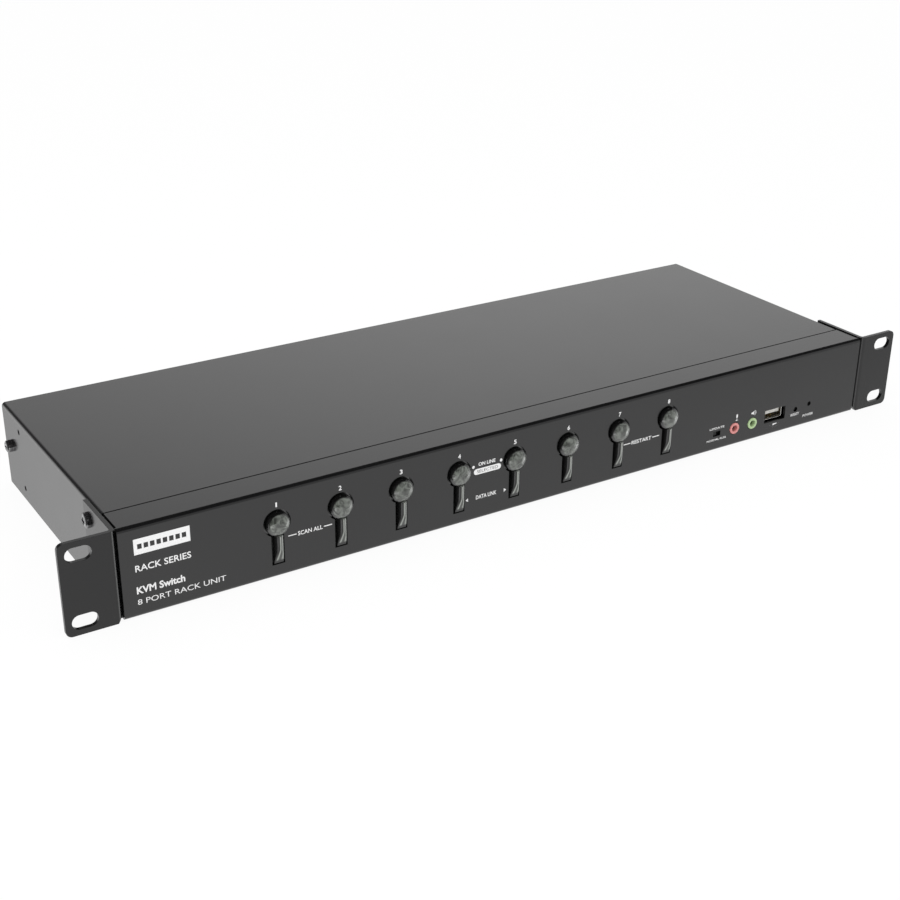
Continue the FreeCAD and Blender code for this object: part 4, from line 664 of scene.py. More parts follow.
@dataclass(frozen=True)
class LightPipe(Finish):
    """Smoked light guide: near black, with painted highlights along each leg where the mesh marks them as
    "glow".
    """

    leg_highlight_tone: Colour = (0.34, 0.36, 0.33)

    def tone(self, bench: NodeBench, mottle: bpy.types.NodeSocket) -> bpy.types.NodeSocket:
        """Dark plastic, with painted highlights along each leg."""
        glow = bench.add("Attribute", attribute_name="glow").outputs["Fac"]
        return bench.blend(glow, bench.blend(mottle, self.dark, self.light), self.leg_highlight_tone)


@dataclass(frozen=True)
class CircuitLacquer(Finish):
    """Solder mask over copper tracks."""

    track: Colour = (0.06, 0.23, 0.07)
    cells: float = 160.0
    runs: float = 6.0
    gap: float = 0.62
    cover: float = 0.55

    def tone(self, bench: NodeBench, mottle: bpy.types.NodeSocket) -> bpy.types.NodeSocket:
        """Lacquer, of another tone where copper runs under it."""
        tracks = bench.add("TexVoronoi", {"Vector": bench.place(), "Scale": self.cells},
                           distance="CHEBYCHEV", feature="F1")
        run = bench.maths("GREATER_THAN", bench.maths("FRACT", bench.maths(
            "MULTIPLY", tracks.outputs["Distance"], self.runs)), self.gap)
        lacquer = bench.blend(mottle, self.dark, self.light)
        return bench.blend(bench.times(run, self.cover), lacquer, self.track)


@dataclass(frozen=True)
class WireRibbon(Finish):
    """Flat cable: parallel wires side by side."""

    pitch: float = 0.00127
    groove_shade_tone: Colour = (0.1, 0.1, 0.11)

    def tone(self, bench: NodeBench, mottle: bpy.types.NodeSocket) -> bpy.types.NodeSocket:
        """Grey wires with painted shade in the grooves between them."""
        along = bench.add("SeparateXYZ", {0: bench.place()}).outputs[0]
        valley = bench.maths("ABSOLUTE", bench.maths("SINE", bench.times(along, PI / self.pitch)))
        # Painted shade: the grooves between wires take the dark groove tone.
        return bench.blend(bench.maths("POWER", valley, 0.4), self.groove_shade_tone, self.light)


class Finishes:
    """Every finish of the unit."""

    CASE = Finish("black_case_paint", (0.004, 0.004, 0.0043), (0.007, 0.007, 0.0073), (0.17, 0.23), 1600.0,
                  0.0000014, (0.02, 0.02, 0.021), 0.0003, 0.6, dust=0.03)
    TRAY = Finish("black_tray_paint", (0.004, 0.004, 0.0043), (0.007, 0.007, 0.0073), (0.17, 0.23), 1600.0,
                  0.0000014, (0.02, 0.02, 0.021), 0.0003, 0.6, dust=0.03, index=1.45)
    EAR = Finish("black_ear_paint", (0.004, 0.004, 0.0042), (0.006, 0.006, 0.0062), (0.2, 0.26), 1600.0,
                 0.0000018, (0.02, 0.02, 0.021), 0.0003, 0.6, dust=0.02, index=1.38)
    # Black oxide screws: the pale mottle and the pale edge tone are painted glints on the heads.
    SCREW = Finish("black_oxide_painted_glints", (0.03, 0.03, 0.03), (0.3, 0.3, 0.305), (0.1, 0.2), 700.0,
                   0.00006, (0.6, 0.6, 0.62), 0.0003, 2.2, metal=0.9)
    # The cap's light tone is the painted highlight of its swirled face.
    CAP = SmokedLens("smoked_cap", (0.02, 0.023, 0.019), (0.14, 0.153, 0.135), (0.14, 0.24), 1800.0,
                     0.0000015, coat=0.3, coat_rough=0.08)
    GUIDE = LightPipe("smoked_light_guide", (0.003, 0.003, 0.003), (0.007, 0.007, 0.007), (0.22, 0.32),
                      1500.0, 0.000001, coat=0.25, coat_rough=0.12, index=1.3)
    INK = Finish("white_screen_ink", (0.78, 0.78, 0.78), (0.88, 0.88, 0.88), (0.45, 0.6), 3000.0, 0.000003)
    DARK_INK = Finish("black_screen_ink", (0.02, 0.02, 0.02), (0.03, 0.03, 0.03), (0.45, 0.6), 3000.0,
                      0.000003)
    # The darker edge tones of the pink and green sockets are painted shade round the rounded collar edges.
    PINK = Finish("pink_socket_plastic", (0.62, 0.22, 0.21), (0.72, 0.30, 0.28), (0.28, 0.4), 1500.0,
                  0.000003, (0.3, 0.08, 0.08), 0.0003, 1.4)
    GREEN = Finish("green_socket_plastic", (0.37, 0.52, 0.26), (0.47, 0.62, 0.34), (0.28, 0.4), 1500.0,
                   0.000003, (0.11, 0.17, 0.07), 0.0003, 1.4)
    STEEL = DrawnMetal("bright_plated_steel", (0.55, 0.55, 0.53), (0.78, 0.77, 0.74), (0.16, 0.3), 2600.0,
                       0.0000012, (0.85, 0.84, 0.82), 0.00015, 1.5, metal=1.0)
    BRASS = DrawnMetal("gilt_contact_brass", (0.66, 0.45, 0.16), (0.84, 0.62, 0.27), (0.16, 0.28), 2600.0,
                       0.000001, metal=1.0)
    SINK = DrawnMetal("ribbed_sink_aluminium", (0.5, 0.5, 0.51), (0.68, 0.68, 0.69), (0.25, 0.4), 2200.0,
                      0.000002, (0.8, 0.8, 0.8), 0.0002, 1.5, metal=1.0, turned=(0.0, 0.0, PI / 2))
    DARK = Finish("dark_moulded_plastic", (0.012, 0.012, 0.012), (0.022, 0.022, 0.021), (0.35, 0.5), 1800.0,
                  0.000005, (0.05, 0.05, 0.05), 0.0002, 1.0)
    PALE = Finish("pale_insulator_plastic", (0.62, 0.61, 0.57), (0.74, 0.73, 0.69), (0.35, 0.5), 1600.0,
                  0.000004, (0.8, 0.8, 0.77), 0.0002, 0.8)
    LAMP = Finish("unlit_smoked_resin", (0.004, 0.004, 0.004), (0.008, 0.008, 0.008), (0.4, 0.5), 1200.0,
                  0.000001, index=1.3)
    BOARD = CircuitLacquer("green_circuit_lacquer", (0.008, 0.09, 0.025), (0.014, 0.14, 0.04), (0.2, 0.34),
                           1400.0, 0.000002, coat=0.3)
    DARK_BOARD = CircuitLacquer("black_circuit_lacquer", (0.003, 0.003, 0.003), (0.005, 0.005, 0.005),
                                (0.3, 0.4), 1400.0, 0.000002, coat=0.1, track=(0.012, 0.012, 0.011))
    RIBBON = WireRibbon("grey_ribbon_cable", (0.3, 0.3, 0.31), (0.46, 0.46, 0.47), (0.45, 0.6), 1500.0,
                        0.000003)
    CHIP = Finish("black_chip_epoxy", (0.011, 0.011, 0.012), (0.02, 0.02, 0.021), (0.5, 0.65), 3000.0,
                  0.000006, (0.06, 0.06, 0.06), 0.0002, 1.0)
    SLEEVE = Finish("capacitor_sleeve", (0.01, 0.012, 0.03), (0.02, 0.022, 0.05), (0.2, 0.3), 1500.0,
                    0.000002, (0.3, 0.3, 0.32), 0.0003, 1.5)


# ------------------------------------------------------------------------------------------
# Sub-assemblies
# ------------------------------------------------------------------------------------------


def corners(node: str) -> tuple[Array, Array]:
    """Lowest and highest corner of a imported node's box, in metres."""
    low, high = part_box(node)
    return np.array(low), np.array(high)


def spots_of(mesh: bpy.types.Mesh) -> Array:
    """Places of a mesh's points, one a row."""
    spots = np.zeros(len(mesh.vertices) * 3)
    mesh.vertices.foreach_get("co", spots)
    return spots.reshape(-1, 3)


def mark(mesh: bpy.types.Mesh, name: str, values: Array) -> None:
    """Keep one value a point on a mesh, for its material to read."""
    mesh.attributes.new(name, "FLOAT", "POINT").data.foreach_set("value", values.astype(np.float32))


def dress(finish: Finish, *names: str) -> None:
    """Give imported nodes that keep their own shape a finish.

    Args:
        finish: the finish.
        names: the nodes.
    """
    material = finish.material()
    for name in names:
        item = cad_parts[name]
        if not item.material_slots:
            item.data.materials.append(material)
        for slot in item.material_slots:
            slot.material = material
        log.info("%s wears %s", name, finish.name)


@dataclass
class Enclosure:
    """Tray, cover, back panel and rack ears of folded, painted steel."""

    sheet_edge: float = 0.12 * MM
    ear_edge: float = 0.3 * MM

    def build(self) -> None:
        """Stand every sheet in its place with softened edges."""
        for node, finish, edge in (
                ("base_tray", Finishes.TRAY, self.sheet_edge), ("top_cover", Finishes.CASE, self.sheet_edge),
                ("rear_panel", Finishes.CASE, self.sheet_edge),
                ("left_rack_ear", Finishes.EAR, self.ear_edge),
                ("right_rack_ear", Finishes.EAR, self.ear_edge)):
            piece = Piece(node + "_sheet", Body.CASE.value, "case_black", (node,))
            softened(piece, finish.material(), edge)


@dataclass
class CrossHead:
    """Pan-headed screw with a cross recess, turned as a height over each point of its head."""

    radius: float = 3.1 * MM
    rise: float = 1.9 * MM
    shank: float = 1.5 * MM
    grip: float = 5.5 * MM
    arm: float = 1.7 * MM
    half_slot: float = 0.5 * MM
    depth: float = 1.1 * MM
    shoulder: float = 0.35
    slack: float = 0.16 * MM
    rings: int = 34
    steps: int = 96

    def surface(self, seat: Sequence[float], facing: Facing) -> Surface:
        """Work out one screw.

        Over the head, height = rise * (shoulder + (1 - shoulder) * (1 - (r / R) ** 4) ** 0.5), less
        the recess, a cross whose depth falls off smoothly past its arms. Under the head the shank
        runs straight to its end.

        Args:
            seat: middle of the face under the head.
            facing: which way the head looks.

        Returns:
            The surface.
        """
        out, side, up = facing.axes
        angle = np.linspace(0.0, 2 * PI, self.steps, endpoint=False)[None, :]
        reach = (np.linspace(0.0, 1.0, self.rings)[1:, None] ** 0.9) * self.radius
        x, z = reach * np.cos(angle), reach * np.sin(angle)
        crown = np.sqrt(np.clip(1 - (reach / self.radius) ** 4, 0.0, 1.0))
        height = self.rise * (self.shoulder + (1 - self.shoulder) * crown) + 0 * x
        narrow = (self.half_slot - self.slack, self.half_slot + self.slack)
        long = (self.arm - self.slack, self.arm + self.slack)
        upright = (1 - soft_step(*narrow, np.abs(x))) * (1 - soft_step(*long, np.abs(z)))
        level = (1 - soft_step(*narrow, np.abs(z))) * (1 - soft_step(*long, np.abs(x)))
        height = height - self.depth * np.maximum(upright, level) * (1 - 0.25 * reach / self.radius)
        head = height[..., None] * out + x[..., None] * side + z[..., None] * up
        below = np.array([[0.0, self.radius], [0.0, self.shank], [-self.grip + self.shank * 0.4, self.shank],
                          [-self.grip, self.shank * 0.6]])
        foot = below[:, None, :1] * out + below[:, None, 1:] * facing.ring(angle[0])[None]
        return Surface.carried(np.array(seat) + np.concatenate([head, foot]))


@dataclass
class CaseScrews:
    """Screws in the ears and the cover's sides, and the earthing screw on the back."""

    ear: CrossHead = field(default_factory=lambda: CrossHead(radius=3.6 * MM, rise=2.2 * MM, shoulder=0.5))
    cover: CrossHead = field(default_factory=lambda: CrossHead(rise=2.9 * MM, shoulder=0.55, depth=1.3 * MM))
    earth: CrossHead = field(default_factory=lambda: CrossHead(
        radius=3.8 * MM, rise=2.4 * MM, arm=2.2 * MM, half_slot=0.6 * MM))
    washer_radius: float = 4.6 * MM
    washer_wall: float = 0.8 * MM
    washer_bore: float = 2.0 * MM
    washer_arris: float = 0.1 * MM
    washer_teeth: int = 16
    washer_steps: int = 192
    tooth_depth: float = 0.25 * MM

    def build(self) -> None:
        """Build all the screws."""
        oxide, steel = Finishes.SCREW.material(), Finishes.STEEL.material()
        for node, kind in (("ear_screws", self.ear), ("cover_screws", self.cover)):
            low, high = corners(node)
            heights = sorted({round(low[2] + kind.radius, 6), round(high[2] - kind.radius, 6)})
            parts = []
            for facing, face in ((Facing.LEFT, low[0] + kind.rise), (Facing.RIGHT, high[0] - kind.rise)):
                parts += [kind.surface((face, (low[1] + high[1]) / 2, z), facing) for z in heights]
            Piece(node + "_heads", Body.CASE.value, "screw_black", (node,)).settle(
                Surface.joined(parts).mesh(node), oxide)
        low, high = corners("ground_screw")
        seat = np.array([(low[0] + high[0]) / 2, high[1] - self.earth.rise, (low[2] + high[2]) / 2])
        screw = self.earth.surface(seat, Facing.BACK)
        Piece("earthing_screw", Body.CASE.value, "bright_steel", ("ground_screw",)).settle(
            Surface.joined([screw, self.washer(seat)]).mesh("earthing_screw"), steel)

    def washer(self, seat: Array) -> Surface:
        """Toothed washer: its outer radius steps in between the teeth as a softened square wave.

        Args:
            seat: middle of the washer's outer face.

        Returns:
            The surface.
        """
        out = Facing.BACK.axes[0]
        angle = np.linspace(0.0, 2 * PI, self.washer_steps, endpoint=False)
        teeth = np.tanh(3 * np.cos(self.washer_teeth * angle))
        rim = self.washer_radius - self.tooth_depth * (1 - teeth)
        ring = Facing.BACK.ring(angle)
        inner = np.full_like(rim, self.washer_bore)
        arris, wall = self.washer_arris, self.washer_wall
        heights = ((0.0, inner), (0.0, rim - arris), (-arris, rim), (-wall + arris, rim),
                   (-wall, rim - arris), (-wall, inner))
        loops = np.stack([height * out + radius[:, None] * ring for height, radius in heights], axis=1)
        return Surface.carried(seat + loops, closed_path=True)


@dataclass
class PortButton:
    """Round domed cap with its light guide below it, in front of its retaining flange."""

    number: int
    cap: float = 5.9 * MM
    rim: float = 1.5 * MM
    dome: float = 2.3 * MM
    shoulder: float = 0.75 * MM
    flange: float = 7.5 * MM
    flange_front: float = 1.5 * MM
    flange_back: float = 2.7 * MM
    post: float = 1.6 * MM
    stem: float = 2.3 * MM
    stem_base: float = 0.3 * MM
    ramp: float = 6.4 * MM
    arris: float = 0.5 * MM
    # Where the two painted leg highlights of the light guide run, how wide they are, how strong the outer one
    # is, and the painted haze beside the inner one.
    inner_leg: tuple[float, float] = (0.15 * MM, -1.1 * MM)
    outer_leg: tuple[float, float] = (1.35 * MM, 1.55 * MM)
    leg_width: tuple[float, float] = (0.26 * MM, 0.48 * MM)
    outer_share: float = 0.8
    haze: float = 0.14

    @property
    def body(self) -> str:
        """Body that the button rides on."""
        return "button_%d" % self.number

    @property
    def node(self) -> str:
        """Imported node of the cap."""
        return "port_button_%d" % self.number

    @property
    def lens(self) -> str:
        """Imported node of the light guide."""
        return "link_lens_%d" % self.number

    def centre(self) -> Array:
        """Point on the cap's axis, level with the wall's outer face."""
        low, high = corners(self.node)
        return np.array([(low[0] + high[0]) / 2, low[1] + self.rim + self.dome, high[2] - self.flange])

    def build(self) -> None:
        """Build the cap and the light guide."""
        self.build_cap()
        self.build_guide()

    def build_cap(self) -> None:
        """Turn the cap and its flange, and frame the slot of the light guide.

        The dome is a ball of radius (cap squared + dome squared) / (2 * dome), and its edge runs
        into the straight side round a soft shoulder.
        """
        centre = self.centre()
        ball = (self.cap ** 2 + self.dome ** 2) / (2 * self.dome)
        reach = np.linspace(0.0, self.cap - self.shoulder, 34)
        height = self.rim + self.dome - ball + np.sqrt(ball ** 2 - reach ** 2)
        crown = np.stack([height, reach], axis=1)
        turn = rounded_corner(crown[-1], (self.rim + 0.02 * MM, self.cap), (0.0, self.cap), self.shoulder, 9)
        end = float(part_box(self.node)[1][1]) - centre[1]
        back = np.array([
            [0.2 * MM, self.cap], [-self.flange_front, self.cap], [-self.flange_front, self.flange],
            [-self.flange_back, self.flange], [-self.flange_back, self.post],
            [-end + 0.3 * MM, self.post], [-end, self.post - 0.3 * MM]])
        profile = np.concatenate([crown[1:], turn, back])
        knob = Surface.turned(profile, centre, Facing.FRONT, 96)
        mesh = Surface.joined([knob, self.slot_frame(centre)]).mesh(self.node)
        away = spots_of(mesh) - centre
        mark(mesh, "from_axis", np.hypot(away[:, 0], away[:, 2]) / MM)
        Piece("cap_%d" % self.number, self.body, "cap_smoke", (self.node,)).settle(
            mesh, Finishes.CAP.material(), sharp=50.0)

    def slot_frame(self, centre: Array) -> Surface:
        """Flat frame behind the wall that holds the light guide: a bar bent into a U.

        Args:
            centre: point on the cap's axis, level with the wall.

        Returns:
            The surface.
        """
        low = float(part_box(self.node)[0][2]) - centre[2]
        inner, outer = self.stem + 0.02 * MM, self.flange - self.cap + self.stem
        top, floor = -self.cap * 0.8, low + (self.flange - self.cap)
        rim = np.array([[outer, top], [outer, low], [-outer, low], [-outer, top]])
        core = np.array([[inner, top], [inner, floor], [-inner, floor], [-inner, top]])
        front, rear = self.flange_front, self.flange_back
        loops = np.stack([np.column_stack([run[:, 0], np.full(len(run), depth), run[:, 1]])
                          for run, depth in ((rim, front), (rim, rear), (core, rear), (core, front))], axis=1)
        return Surface.carried(centre + loops)

    def build_guide(self) -> None:
        """Carry the half-round section of the light guide up from its slanted end.

        Across, x = -w cos(pi t); out of the wall the guide stands base + w sin(pi t), but no more
        than the slanted plane base + w z / ramp allows, the two blended over a thin arris. Its top
        follows the cap: z = cap centre less the root of cap squared less x squared.

        The attribute "glow" marks two painted highlights, one down each leg, that stand in for light caught
        along the arrises of the slanted end. Where h is the height up the guide and f = (0.55 - h) / 0.45,
        kept within 0 and 1, each leg's middle runs straight from its first place to its second as f grows,
        and so does its width. The mark falls off as a bell across a leg, with a faint painted haze to the
        right of the inner leg, and fades to nothing at the lower tip.
        """
        low, high = corners(self.lens)
        centre = self.centre()
        foot, back = low[2] - centre[2], high[1] - centre[1]
        t = np.linspace(0.0, 1.0, 73)[None, :]
        x = -self.stem * np.cos(PI * t)
        crest = self.stem * np.sin(PI * t)
        top = -np.sqrt(np.clip(self.cap ** 2 - x ** 2, 0.0, None))
        share = np.concatenate([np.linspace(0.0, 0.62, 64), np.linspace(0.62, 1.0, 20)[1:]])[:, None]
        z = foot + share * (top - foot)
        plane = self.stem * np.clip((z - foot) / self.ramp, 0.0, None)
        gap = np.abs(crest - plane)
        proud = np.clip((crest + plane - np.sqrt(gap ** 2 + self.arris ** 2)) / 2, 0.0, None)
        front = np.stack([x + 0 * z, -self.stem_base - proud, z], axis=-1)
        behind = np.stack([front[:, -1], front[:, 0]], axis=1)
        behind[..., 1] = back
        mesh = Surface.carried(centre + np.concatenate([front, behind], axis=1)).mesh(self.lens)
        away = spots_of(mesh) - centre
        h = np.clip((away[:, 2] - foot) / (-self.cap - foot), 0.0, 1.0)
        fall = np.clip((0.55 - h) / 0.45, 0.0, 1.0)
        inner = self.inner_leg[0] + (self.inner_leg[1] - self.inner_leg[0]) * fall
        outer = self.outer_leg[0] + (self.outer_leg[1] - self.outer_leg[0]) * fall
        width = self.leg_width[0] + (self.leg_width[1] - self.leg_width[0]) * fall
        # Painted highlights: two bright legs and a faint haze on the guide's front.
        glow = np.exp(-((away[:, 0] - inner) / width) ** 2)
        glow += self.outer_share * np.exp(-((away[:, 0] - outer) / width) ** 2)
        glow += self.haze * soft_step(-0.5 * MM, 0.3 * MM, away[:, 0] - inner)
        glow *= soft_step(0.07, 0.17, h) * (away[:, 1] < 0)
        mark(mesh, "glow", glow)
        Piece("light_guide_%d" % self.number, self.body, "lens_smoke", (self.lens,)).settle(
            mesh, Finishes.GUIDE.material(), sharp=38.0)


@dataclass
class AudioSockets:
    """Pink and green audio sockets, front and back, each with a contact sleeve in its bore."""

    half: float = 3.7 * MM
    bore: float = 1.8 * MM
    sleeve_wall: float = 0.18 * MM
    sleeve_start: float = 2.2 * MM
    sleeve_length: float = 6.0 * MM
    collar_edge: float = 0.28 * MM

    def build(self) -> None:
        """Dress the sockets and build their contact sleeves."""
        for node, finish, slot in (
                ("mic_jack", Finishes.PINK, "jack_pink"), ("speaker_jack", Finishes.GREEN, "jack_green"),
                ("rear_mic_jacks", Finishes.PINK, "jack_pink"),
                ("rear_speaker_jacks", Finishes.GREEN, "jack_green")):
            softened(Piece(node + "_body", Body.CASE.value, slot, (node,)), finish.material(),
                     self.collar_edge)
        sleeves = []
        for node in ("mic_jack", "speaker_jack"):
            low, high = corners(node)
            sleeves.append(self.sleeve((low[0] + self.half, low[1], high[2] - self.half), Facing.FRONT))
        for node in ("rear_mic_jacks", "rear_speaker_jacks"):
            low, high = corners(node)
            across = np.linspace(low[0] + self.half, high[0] - self.half, COLUMNS)
            sleeves += [self.sleeve((x, high[1], (low[2] + high[2]) / 2), Facing.BACK) for x in across]
        Piece("audio_contact_sleeves", Body.CASE.value, "bright_steel").settle(
            Surface.joined(sleeves).mesh("sleeves"), Finishes.STEEL.material())

    def sleeve(self, mouth: Sequence[float], facing: Facing) -> Surface:
        """Thin tube inside a socket's bore.

        Args:
            mouth: middle of the socket's mouth.
            facing: which way the socket looks.

        Returns:
            The surface.
        """
        outer, inner = self.bore - 0.02 * MM, self.bore - self.sleeve_wall
        start, end = -self.sleeve_start, -self.sleeve_start - self.sleeve_length
        return Surface.hollow(np.array([[start, inner], [start, outer], [end, outer], [end, inner]]),
                              mouth, facing, 32)


@dataclass
class DataSockets:
    """Flat and square data sockets: folded shells, tongues and gilt contacts."""

    shell_edge: float = 0.14 * MM
    contact_width: float = 1.1 * MM
    contact_rise: float = 0.08 * MM
    contact_length: float = 7.0 * MM
    contact_pitch: float = 2.4 * MM
    contact_drop: float = 4.2 * MM
    contact_start: float = 1.2 * MM

    def build(self) -> None:
        """Build shells, tongues and contacts."""
        for name, finish, slot, node in (
                ("front_usb_shell_folded", Finishes.STEEL, "bright_steel", "front_usb_shell"),
                ("console_usb_shell_folded", Finishes.STEEL, "bright_steel", "console_usb_shell"),
                ("usb_host_shells_folded", Finishes.STEEL, "bright_steel", "usb_host_shells"),
                ("front_tongue", Finishes.PALE, "pale_plastic", "front_usb_tongue"),
                ("console_tongues", Finishes.DARK, "dark_plastic", "console_usb_tongues"),
                ("computer_tongues", Finishes.PALE, "pale_plastic", "usb_host_inserts")):
            softened(Piece(name, Body.CASE.value, slot, (node,)), finish.material(), self.shell_edge)
        low, high = corners("front_usb_tongue")
        under, start = high[2] - self.contact_drop, low[1] + self.contact_start
        strips = [self.contact(((low[0] + high[0]) / 2 + step * self.contact_pitch, start, under))
                  for step in (-1.5, -0.5, 0.5, 1.5)]
        Piece("front_data_contacts", Body.CASE.value, "pin_brass").settle(
            Surface.joined(strips).mesh("contacts"), Finishes.BRASS.material())

    def contact(self, start: Sequence[float]) -> Surface:
        """Flat contact strip with rounded sides, carried backward from its start.

        Args:
            start: front end of the strip, on its middle line.

        Returns:
            The surface.
        """
        angle = np.linspace(0.0, 2 * PI, 16, endpoint=False)
        x = self.contact_width / 2 * np.sign(np.cos(angle)) * np.abs(np.cos(angle)) ** 0.5
        z = self.contact_rise * np.sign(np.sin(angle)) * np.abs(np.sin(angle)) ** 0.5
        along = np.array([0.0, 0.15, 1.0]) * self.contact_length
        taper = np.array([0.7, 1.0, 1.0])[:, None]
        loops = np.stack([x * taper, along[:, None] + 0 * x, z * taper], axis=-1)
        return Surface.carried(np.array(start) + loops)


@dataclass
class VideoSockets:
    """Video sockets on the back with their hexagon posts."""

    shell_edge: float = 0.16 * MM
    post_edge: float = 0.22 * MM

    def build(self) -> None:
        """Soften the shells and posts and dress the insulators."""
        steel = Finishes.STEEL.material()
        softened(Piece("video_shells_drawn", Body.CASE.value, "bright_steel", ("video_shells",)), steel,
                 self.shell_edge)
        softened(Piece("hexagon_posts", Body.CASE.value, "bright_steel", ("hex_posts",)), steel,
                 self.post_edge)
        dress(Finishes.PALE, "video_inserts")


@dataclass
class FrontControls:
    """Slide switch, reset plunger, power lamp and the power inlet."""

    knob_edge: float = 0.25 * MM

    def build(self) -> None:
        """Soften and dress the small controls."""
        black, dark, edge = Finishes.LAMP.material(), Finishes.DARK.material(), self.knob_edge
        for piece, finish, width in (
                # The slider knob wears the near-black lamp resin, darker than the other black plastic:
                # painted shade of its recess.
                (Piece("slider_knob", Body.SLIDER.value, "dark_plastic", ("firmware_slider",)), black, edge),
                (Piece("reset_plunger", Body.RESET.value, "dark_plastic", ("reset_button",)),
                 black, edge / 2),
                (Piece("power_lamp", Body.CASE.value, "lamp_clear", ("power_led",)), black, edge),
                (Piece("power_inlet_body", Body.CASE.value, "dark_plastic", ("power_inlet",)), dark, edge)):
            softened(piece, finish, width)
        dress(Finishes.STEEL, "power_inlet_pin")
        dress(Finishes.DARK, "firmware_switch_body", "reset_switch_body", "key_switches")


@dataclass
class Electronics:
    """Boards and what stands on them inside the case."""

    def build(self) -> None:
        """Dress every inner node."""
        dress(Finishes.BOARD, "main_board", "selector_board", "upper_port_board")
        dress(Finishes.DARK_BOARD, "front_port_board")
        dress(Finishes.CHIP, "port_chips", "main_processor")
        dress(Finishes.SINK, "heat_sink")
        dress(Finishes.SLEEVE, "capacitors")
        dress(Finishes.DARK, "cable_headers")
        dress(Finishes.RIBBON, "ribbon_cable")
        dress(Finishes.BRASS, "board_standoffs")
        dress(Finishes.STEEL, "board_screws", "selector_spacers")
        dress(Finishes.LAMP, "link_leds")


@dataclass
class Print:
    """Screen-printed marks on one flat face of the case."""

    facing: Facing
    face: float
    name: str
    proud: float = 0.03 * MM
    sunk: float = 0.01 * MM
    finish: Finish = Finishes.INK
    layers: list = field(default_factory=list)

    def lay(self, flat: bpy.types.Mesh, across: tuple[float, float], up: tuple[float, float],
            lift: float = 0.0) -> None:
        """Stretch a flat mesh over a rectangle of the face.

        Args:
            flat: mesh drawn in its own X and Y, with some thickness.
            across: left and right ends seen from in front of the face, in metres.
            up: lower and upper ends, in metres.
            lift: how far above the other marks it lies.
        """
        spots = spots_of(flat)
        low, high = spots.min(axis=0), spots.max(axis=0)
        share = (spots - low) / np.maximum(high - low, 1e-9)
        out, side, above = self.facing.axes
        along = across[0] + share[:, :1] * (across[1] - across[0])
        height = up[0] + share[:, 1:2] * (up[1] - up[0])
        depth = -self.sunk + share[:, 2:] * (self.proud + self.sunk + lift)
        placed = along * side + height * above + (self.face * np.abs(out)) + depth * out
        flat.vertices.foreach_set("co", placed.astype(np.float32).ravel())
        flat.update()
        self.layers.append(flat)

    def word(self, text: str, across: tuple[float, float], up: tuple[float, float], bold: float = 0.0,
             lift: float = 0.0) -> None:
        """Print a word over a rectangle of the face.

        Args:
            text: the word.
            across: left and right ends.
            up: lower and upper ends.
            bold: how much its strokes are thickened, as a share of the letter height.
            lift: how far above the other marks it lies.
        """
        line = bpy.data.curves.new("line", "FONT")
        line.body = text
        line.extrude = DRAWN_WALL
        line.offset = bold
        line.resolution_u = 3
        self.lay(meshed(line), across, up, lift)

    def shape(self, outlines: Sequence[Array], across: tuple[float, float], up: tuple[float, float]) -> None:
        """Print filled outlines over a rectangle of the face.

        Args:
            outlines: closed outlines, one point a row.
            across: left and right ends.
            up: lower and upper ends.
        """
        flat = bpy.data.curves.new("flat", "CURVE")
        flat.dimensions = "2D"
        flat.fill_mode = "BOTH"
        flat.extrude = DRAWN_WALL
        for outline in outlines:
            spline = flat.splines.new("POLY")
            spline.points.add(len(outline) - 1)
            spline.points.foreach_set("co", np.column_stack(
                [outline, np.zeros(len(outline)), np.ones(len(outline))]).astype(np.float32).ravel())
            spline.use_cyclic_u = True
        self.lay(meshed(flat), across, up)

    def finish_piece(self) -> None:
        """Join the marks into one piece."""
        work = bmesh.new()
        for layer in self.layers:
            work.from_mesh(layer)
        joined = bpy.data.meshes.new(self.name)
        work.to_mesh(joined)
        work.free()
        slot = "pale_plastic" if self.finish is Finishes.INK else "case_black"
        Piece(self.name, Body.CASE.value, slot).settle(welded(joined), self.finish.material(), sharp=30.0)


def meshed(curve: bpy.types.Curve) -> bpy.types.Mesh:
    """A text or a flat curve as a mesh."""
    holder = bpy.data.objects.new("holder", curve)
    bpy.context.scene.collection.objects.link(holder)
    bpy.context.view_layer.update()
    flat = bpy.data.meshes.new_from_object(holder.evaluated_get(bpy.context.evaluated_depsgraph_get()))
    bpy.data.objects.remove(holder)
    return flat


def pill(length: float, height: float, steps: int = 16) -> Array:
    """Outline of a bar with round ends."""
    radius = height / 2
    a = np.linspace(-PI / 2, PI / 2, steps)
    right = np.column_stack([length / 2 - radius + radius * np.cos(a), radius * np.sin(a)])
    return np.concatenate([right, -right])


def disc(x: float, y: float, radius: float, steps: int = 20) -> Array:
    """Outline of a disc."""
    a = np.linspace(0.0, 2 * PI, steps, endpoint=False)
    return np.column_stack([x + radius * np.cos(a), y + radius * np.sin(a)])


def box_outline(left: float, low: float, right: float, high: float) -> Array:
    """Outline of a rectangle."""
    return np.array([[left, low], [right, low], [right, high], [left, high]])


